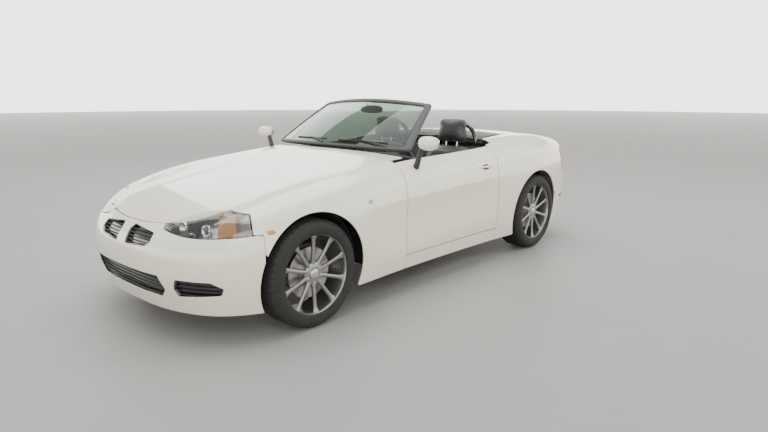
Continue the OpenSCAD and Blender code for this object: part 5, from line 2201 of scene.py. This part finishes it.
@dataclass
class HoodAndHoops:
    """The folded hood behind the seats and the two roll hoops."""

    hoop_x: float = -740.0
    hoop_half: float = 157.0
    hood_half: float = 552.0

    def hoops(self) -> None:
        """Builds the roll hoops."""
        half = self.hoop_half
        for side in Side:
            x, y = self.hoop_x, SEAT_Y * side.value
            turn = np.linspace(0, math.pi, 25)
            bow = [(x, y + half * math.cos(a), 922 + half * math.sin(a)) for a in turn]
            hoop = Shape().tube([(x, y + half, 885), *bow, (x, y - half, 885)], 17.5, 18)
            nodes = ("roll_hoops",) if side is Side.LEFT else ()
            Rider("gloss", nodes).place(f"roll_hoop_{side.word}", hoop)
            pad = Shape().turned((x, y, 884), (0, 0, 1), [(12, 0), (12, 4), (0.5, 5)], 16)
            for o in (-half, half):
                pad.turned((x, y + o, 880), (0, 0, 1), [(30, 0), (30, 6), (26, 9), (19, 10)], 28)
            Rider("plastic").place(f"hoop_feet_{side.word}", pad)

    def hood(self) -> None:
        """Builds the folded canvas as one sheet laid in three layers."""
        top = [float(FORM.at_top(x, 0.0)[2]) for x in (-790, -960, -1120)]
        runs = [(-786, 0, 20), (-850, 1, 6), (-960, 1, 4), (-1080, 2, 6), (-1122, 2, 14), (-1126, 2, 26),
                (-1090, 2, 30), (-960, 1, 30), (-840, 1, 36), (-800, 0, 42), (-798, 0, 52), (-840, 1, 58),
                (-960, 1, 56), (-1110, 2, 54)]
        path = smooth_line([(x, top[k] - below) for x, k, below in runs], 8)
        ys = span(-self.hood_half, self.hood_half, 16)
        p, y = np.meshgrid(np.arange(len(path)), ys)
        x, z = path[p, 0], path[p, 1]
        crown = -12 * np.abs(y / self.hood_half) ** 3
        ripple = 2.4 * np.sin(y / 47 + x / 61) + 1.6 * np.sin(y / 23 - x / 35)
        front = np.stack([x + 1.5 * np.sin(y / 80), y, z + crown + ripple], -1)
        way = np.gradient(path, axis=0)
        way = way / np.linalg.norm(way, axis=1)[:, None]
        out = np.stack([way[p, 1], 0 * x, -way[p, 0]], -1)
        sheet = strip_between(front, front - out * 2.2)
        piece = Rider("canvas", ("soft_top",)).place("folded_hood", sheet, 80)

    def build(self) -> None:
        """Builds the hood and the hoops."""
        self.hoops()
        self.hood()


# ---- wheels


@dataclass(frozen=True)
class Wheel:
    """One road wheel: tyre, rim, spokes, cap, bolts and valve."""

    end: End
    side: Side
    half_track: tuple[float, float] = (737.5, 762.5)
    tread_steps: int = 240
    spokes: int = 10
    bolts: int = 5

    @property
    def centre(self) -> np.ndarray:
        """The wheel's middle.

        Returns:
            Its place in millimetres.
        """
        front, rear = self.half_track
        x, y = (FORM.front_axle, front) if self.end is End.FRONT else (FORM.rear_axle, rear)
        return np.array([x, y * self.side.value, FORM.tyre])

    @property
    def word(self) -> str:
        """The end and side as they are written in a node's name."""
        return f"{self.end.word}_{self.side.word}"

    def place(self, name: str, shape: Shape, finish: str, *nodes: str, slot: str = "") -> None:
        """Turns a shape drawn round the axis to its place.

        Args:
            name: The piece's name.
            shape: The shape, with its axis outwards along Z.
            finish: Its finish.
            nodes: The nodes that it stands for.
            slot: Handed to the rider, which does not use it.
        """
        s = self.side.value
        turned = shape.moved(lambda p: np.stack([p[:, 0], p[:, 2] * s, p[:, 1]], 1) + self.centre)
        Rider(finish, nodes, f"wheel_{self.word}", slot).place(f"{name}_{self.word}", turned, 42)

    def tyre(self) -> None:
        """Builds the tyre with grooves round it and blocks at its shoulders."""
        right = [(229.5, 96), (233, 104), (242, 109), (258, 112.3), (276, 112), (292, 108), (304, 100),
                 (311, 92), (315, 84), (316.5, 72), (316.8, 58), (309, 56), (309, 48), (317, 46), (317, 20),
                 (309, 18), (309, 10), (317, 8)]
        profile = right + [(r, -h) for r, h in right[::-1]] + [(229.5, -60), (229.5, 60)]
        angles = around(self.tread_steps)
        rings = []
        for r, h in profile:
            groove = (np.arange(self.tread_steps) % 5 == 0) & (r > 300) & (abs(h) > 58)
            reach = r - np.where(groove, 5.0, 0.0)
            rings.append(np.stack([reach * np.cos(angles), reach * np.sin(angles), 0 * angles + h], 1))
        self.place("tyre_body", Shape().loft(rings, round_trip=True), "tyre", f"tyre_{self.word}")

    def rim(self) -> None:
        """Builds the rim, its ten spokes, the hub, cap and bolts."""
        profile = [(240, 97), (240, 103), (233, 103), (228, 98), (225, 88), (223, 66), (220, 40), (214, 0),
                   (214, -70), (226, -92), (231, -103), (240, -103), (240, -97), (229, -90), (222, -60),
                   (222, 0), (227, 40), (229, 80)]
        turn = around(120)
        rings = [[(r * math.cos(a), r * math.sin(a), h) for a in turn] for r, h in profile]
        barrel = Shape().loft(rings, round_trip=True)
        self.place("rim_barrel", barrel, "alloy", f"rim_{self.word}")
        spokes = Shape()
        for k in range(self.spokes):
            a = 2 * math.pi * k / self.spokes + math.pi / 2
            way, across = np.array([math.cos(a), math.sin(a), 0]), np.array([-math.sin(a), math.cos(a), 0])
            rings = []
            for r, w, h, d in ((40, 15, 62, 14), (64, 14, 64, 14), (90, 12.5, 68, 13), (140, 11.5, 72, 11),
                               (190, 12.5, 76, 9), (214, 17, 80, 9), (226, 24, 84, 8)):
                rings.append([way * r + across * w * c + np.array([0, 0, h + d * s])
                              for c, s in round_square(16, 0.75)])
            spokes.loft(rings)
        self.place("rim_spokes", spokes, "alloy")
        hub = [(70, 52), (71, 60), (66, 72), (52, 78), (34, 79), (31, 76), (0.5, 76)]
        self.place("rim_hub", Shape().turned((0, 0, 0), (0, 0, 1), hub, 60), "alloy")
        cap = [(30, 74), (30, 80), (26, 83.5), (12, 85), (0.5, 85.4)]
        self.place("wheel_cap", Shape().turned((0, 0, 0), (0, 0, 1), cap, 48), "satin", slot="alloy")
        bolts = Shape()
        for k in range(self.bolts):
            a = 2 * math.pi * (k + 0.5) / self.bolts + math.pi / 2
            at = (51 * math.cos(a), 51 * math.sin(a), 74)
            bolts.turned(at, (0, 0, 1), [(9, 0), (9, 5), (8, 7), (5, 7), (4, 3), (0.5, 3)], 6)
        self.place("wheel_bolts", bolts, "chrome")
        valve = Shape().tube([(0, 221, 78), (0, 214, 84), (0, 208, 90)], [4, 3.5, 3], 10)
        self.place("tyre_valve", valve, "rubber")

    def build(self) -> None:
        """Builds the wheel."""
        self.tyre()
        self.rim()


# ---- what stays as it is


@dataclass
class KeptNodes:
    """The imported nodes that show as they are, in better finishes."""

    finishes: dict = field(default_factory=lambda: {
        "floor_pan": "coating", "front_bulkhead": "coating", "rear_bulkhead": "carpet",
        "front_subframe": "cast", "rear_axle": "cast", "engine_block": "cast", "radiator": "plastic",
        "exhaust": "exhaust", "arch_liners": "coating", "boot_tub": "carpet", "plate_carrier": "plate",
        "steering_column": "plastic", "knuckle_left": "cast", "knuckle_right": "cast",
        "disc_front_left": "disc", "disc_front_right": "disc", "disc_rear_left": "disc",
        "disc_rear_right": "disc"})

    def build(self) -> None:
        """Gives each kept node its finish and soft shading."""
        for name, finish in self.finishes.items():
            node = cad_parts[name]
            node.data.materials.clear()
            node.data.materials.append(finish_of(finish))
            node.data.shade_smooth()
            node.data.set_sharp_from_angle(angle=math.radians(32))
            log.info("%s: kept, %s", name, finish)


# ---- studio


@dataclass
class Studio:
    """Floor, lights and camera."""

    eye: Point = (3.449, 3.305, 1.336)
    yaw: float = 222.3
    pitch: float = -11.8
    lens: float = 27.89
    steps: int = 96

    def stand(self, name: str, rings: Sequence[Point], floor: bool, material: bpy.types.Material) -> None:
        """Builds a piece of the studio from rings round the car.

        Args:
            name: Its name.
            rings: Pairs of radius and height in metres.
            floor: Whether it is a floor with a closed middle, and not a wall that faces inwards.
            material: Its material.
        """
        n = self.steps
        points = [(r * math.cos(a), r * math.sin(a), z) for r, z in rings for a in around(n)]
        faces = [tuple(range(n))] if floor else []
        for i in range(len(rings) - 1):
            for j in range(n):
                a, b, k = i * n + j, (i + 1) * n + j, (j + 1) % n
                c, d = (i + 1) * n + k, i * n + k
                faces.append((a, b, c, d) if floor else (d, a, b, c))
        mesh = bpy.data.meshes.new(name)
        mesh.from_pydata(points, [], faces)
        mesh.materials.append(material)
        piece = bpy.data.objects.new(name, mesh)
        bpy.context.scene.collection.objects.link(piece)

    def floor(self) -> None:
        """Builds the pale floor."""
        s = Shader("studio_floor", Roughness=0.5)
        s.colours(s.noise(0.9, 6.0), (0.33, 0.325, 0.315), (0.295, 0.29, 0.28))
        s.rough(s.noise(5.0, 5.0), 0.42, 0.6)
        s.bump([(s.noise(60.0, 4.0), 0.06)], 0.0008)
        self.stand("studio_floor", [(r, 0.0) for r in (2.0, 6.0, 16.0, 42.0)], True, s.material)

    def wall(self) -> None:
        """Builds the bright wall round the far edge of the floor."""
        s = Shader("studio_wall", Roughness=0.9, Emission_Strength=2.6)
        s.surface.inputs["Emission Color"].default_value = (1.0, 0.985, 0.94, 1)
        s.colours(s.noise(0.2, 2.0), (0.80, 0.79, 0.76), (0.76, 0.75, 0.72))
        self.stand("studio_wall", [(41.5, z) for z in (0.0, 6.0, 13.0)], False, s.material)

    def light(self, name: str, at: Point, size: tuple[float, float], power: float) -> None:
        """Adds one soft light that points at the car.

        Args:
            name: Its name.
            at: Its place in metres.
            size: Its width and height.
            power: Its power in watts.
        """
        data = bpy.data.lights.new(name, "AREA")
        data.shape, data.size, data.size_y, data.energy = "RECTANGLE", size[0], size[1], power
        lamp = bpy.data.objects.new(name, data)
        lamp.location = at
        lamp.rotation_euler = (Vector((0, 0, 0.5)) - Vector(at)).to_track_quat("-Z", "Y").to_euler()
        bpy.context.scene.collection.objects.link(lamp)

    def build(self) -> None:
        """Builds the floor, the lights, the sky and the camera."""
        self.floor()
        self.wall()
        self.light("overhead", (0.0, 0.0, 6.0), (7.0, 5.0), 460.0)
        self.light("key", (4.5, 5.5, 4.5), (4.0, 3.0), 140.0)
        self.light("fill", (-5.5, 4.5, 3.5), (4.0, 3.0), 70.0)
        self.light("back", (-3.0, -6.0, 4.5), (5.0, 3.0), 150.0)
        scene = bpy.context.scene
        world = bpy.data.worlds.new("studio_sky")
        world.use_nodes = True
        world.node_tree.nodes["Background"].inputs[0].default_value = (0.97, 0.965, 0.94, 1)
        world.node_tree.nodes["Background"].inputs[1].default_value = 0.8
        scene.world = world
        data = bpy.data.cameras.new("studio_camera")
        data.sensor_width, data.lens = 36.0, self.lens
        camera = bpy.data.objects.new("studio_camera", data)
        camera.location = self.eye
        camera.rotation_euler = (math.radians(90 + self.pitch), 0, math.radians(self.yaw - 90))
        scene.collection.objects.link(camera)
        scene.camera = camera


@dataclass
class SmallTrim:
    """Filler flap seam, plate surround and sill tread plates."""

    def filler(self) -> None:
        """Builds the seam round the filler flap, on the right rear quarter."""
        a = around(72)
        line = FORM.at_sides(-1330 + 78 * np.cos(a), 800 + 62 * np.sin(a))
        line = line - FORM.normal(line) * 0.4
        seam = Shape().tube(line, 1.5, 8, closed=True).mirrored(Side.RIGHT)
        Rider("rubber").place("filler_flap_seam", seam)

    def plate_frame(self) -> None:
        """Builds the frame round the blank plate."""
        rings = []
        for grow, x in ((0, -2040), (0, -2044), (-10, -2044), (-10, -2040)):
            ring = []
            for c, s in round_square(64, 0.25):
                ring.append((x, (260 + grow) * c, 500 + (56 + grow) * s))
            rings.append(ring)
        Rider("plastic").place("plate_frame", Shape().loft(rings, round_trip=True))

    def scuff(self, side: Side) -> None:
        """Builds the tread plate on a sill.

        Args:
            side: Its side.
        """
        strip = Shape().block((-470, 660, 258), (380, 735, 261.5), 1.2)
        for x in span(-440, 350, 18):
            strip.block((x - 2, 668, 261), (x + 2, 727, 262.2), 0.5)
        Rider("satin").place(f"sill_plate_{side.word}", strip.mirrored(side))

    def build(self) -> None:
        """Builds the small trim."""
        self.filler()
        self.plate_frame()
        for side in Side:
            self.scuff(side)


def main() -> None:
    """Builds the car and its studio."""
    logging.basicConfig(level=logging.INFO, format="%(asctime)s %(name)s: %(message)s")
    coachwork = Coachwork()
    parts = [KeptNodes(), coachwork, Doors(), Lamps(), Grilles(coachwork), Windscreen(), Cabin(), Seats()]
    parts += [HoodAndHoops()]
    parts += [Wheel(end, side) for end in End for side in Side]
    parts += [SmallTrim(), Studio()]
    for part in parts:
        part.build()
        log.info("%s is done", type(part).__name__)
    bpy.context.view_layer.update()


if __name__ == "__main__":
    main()
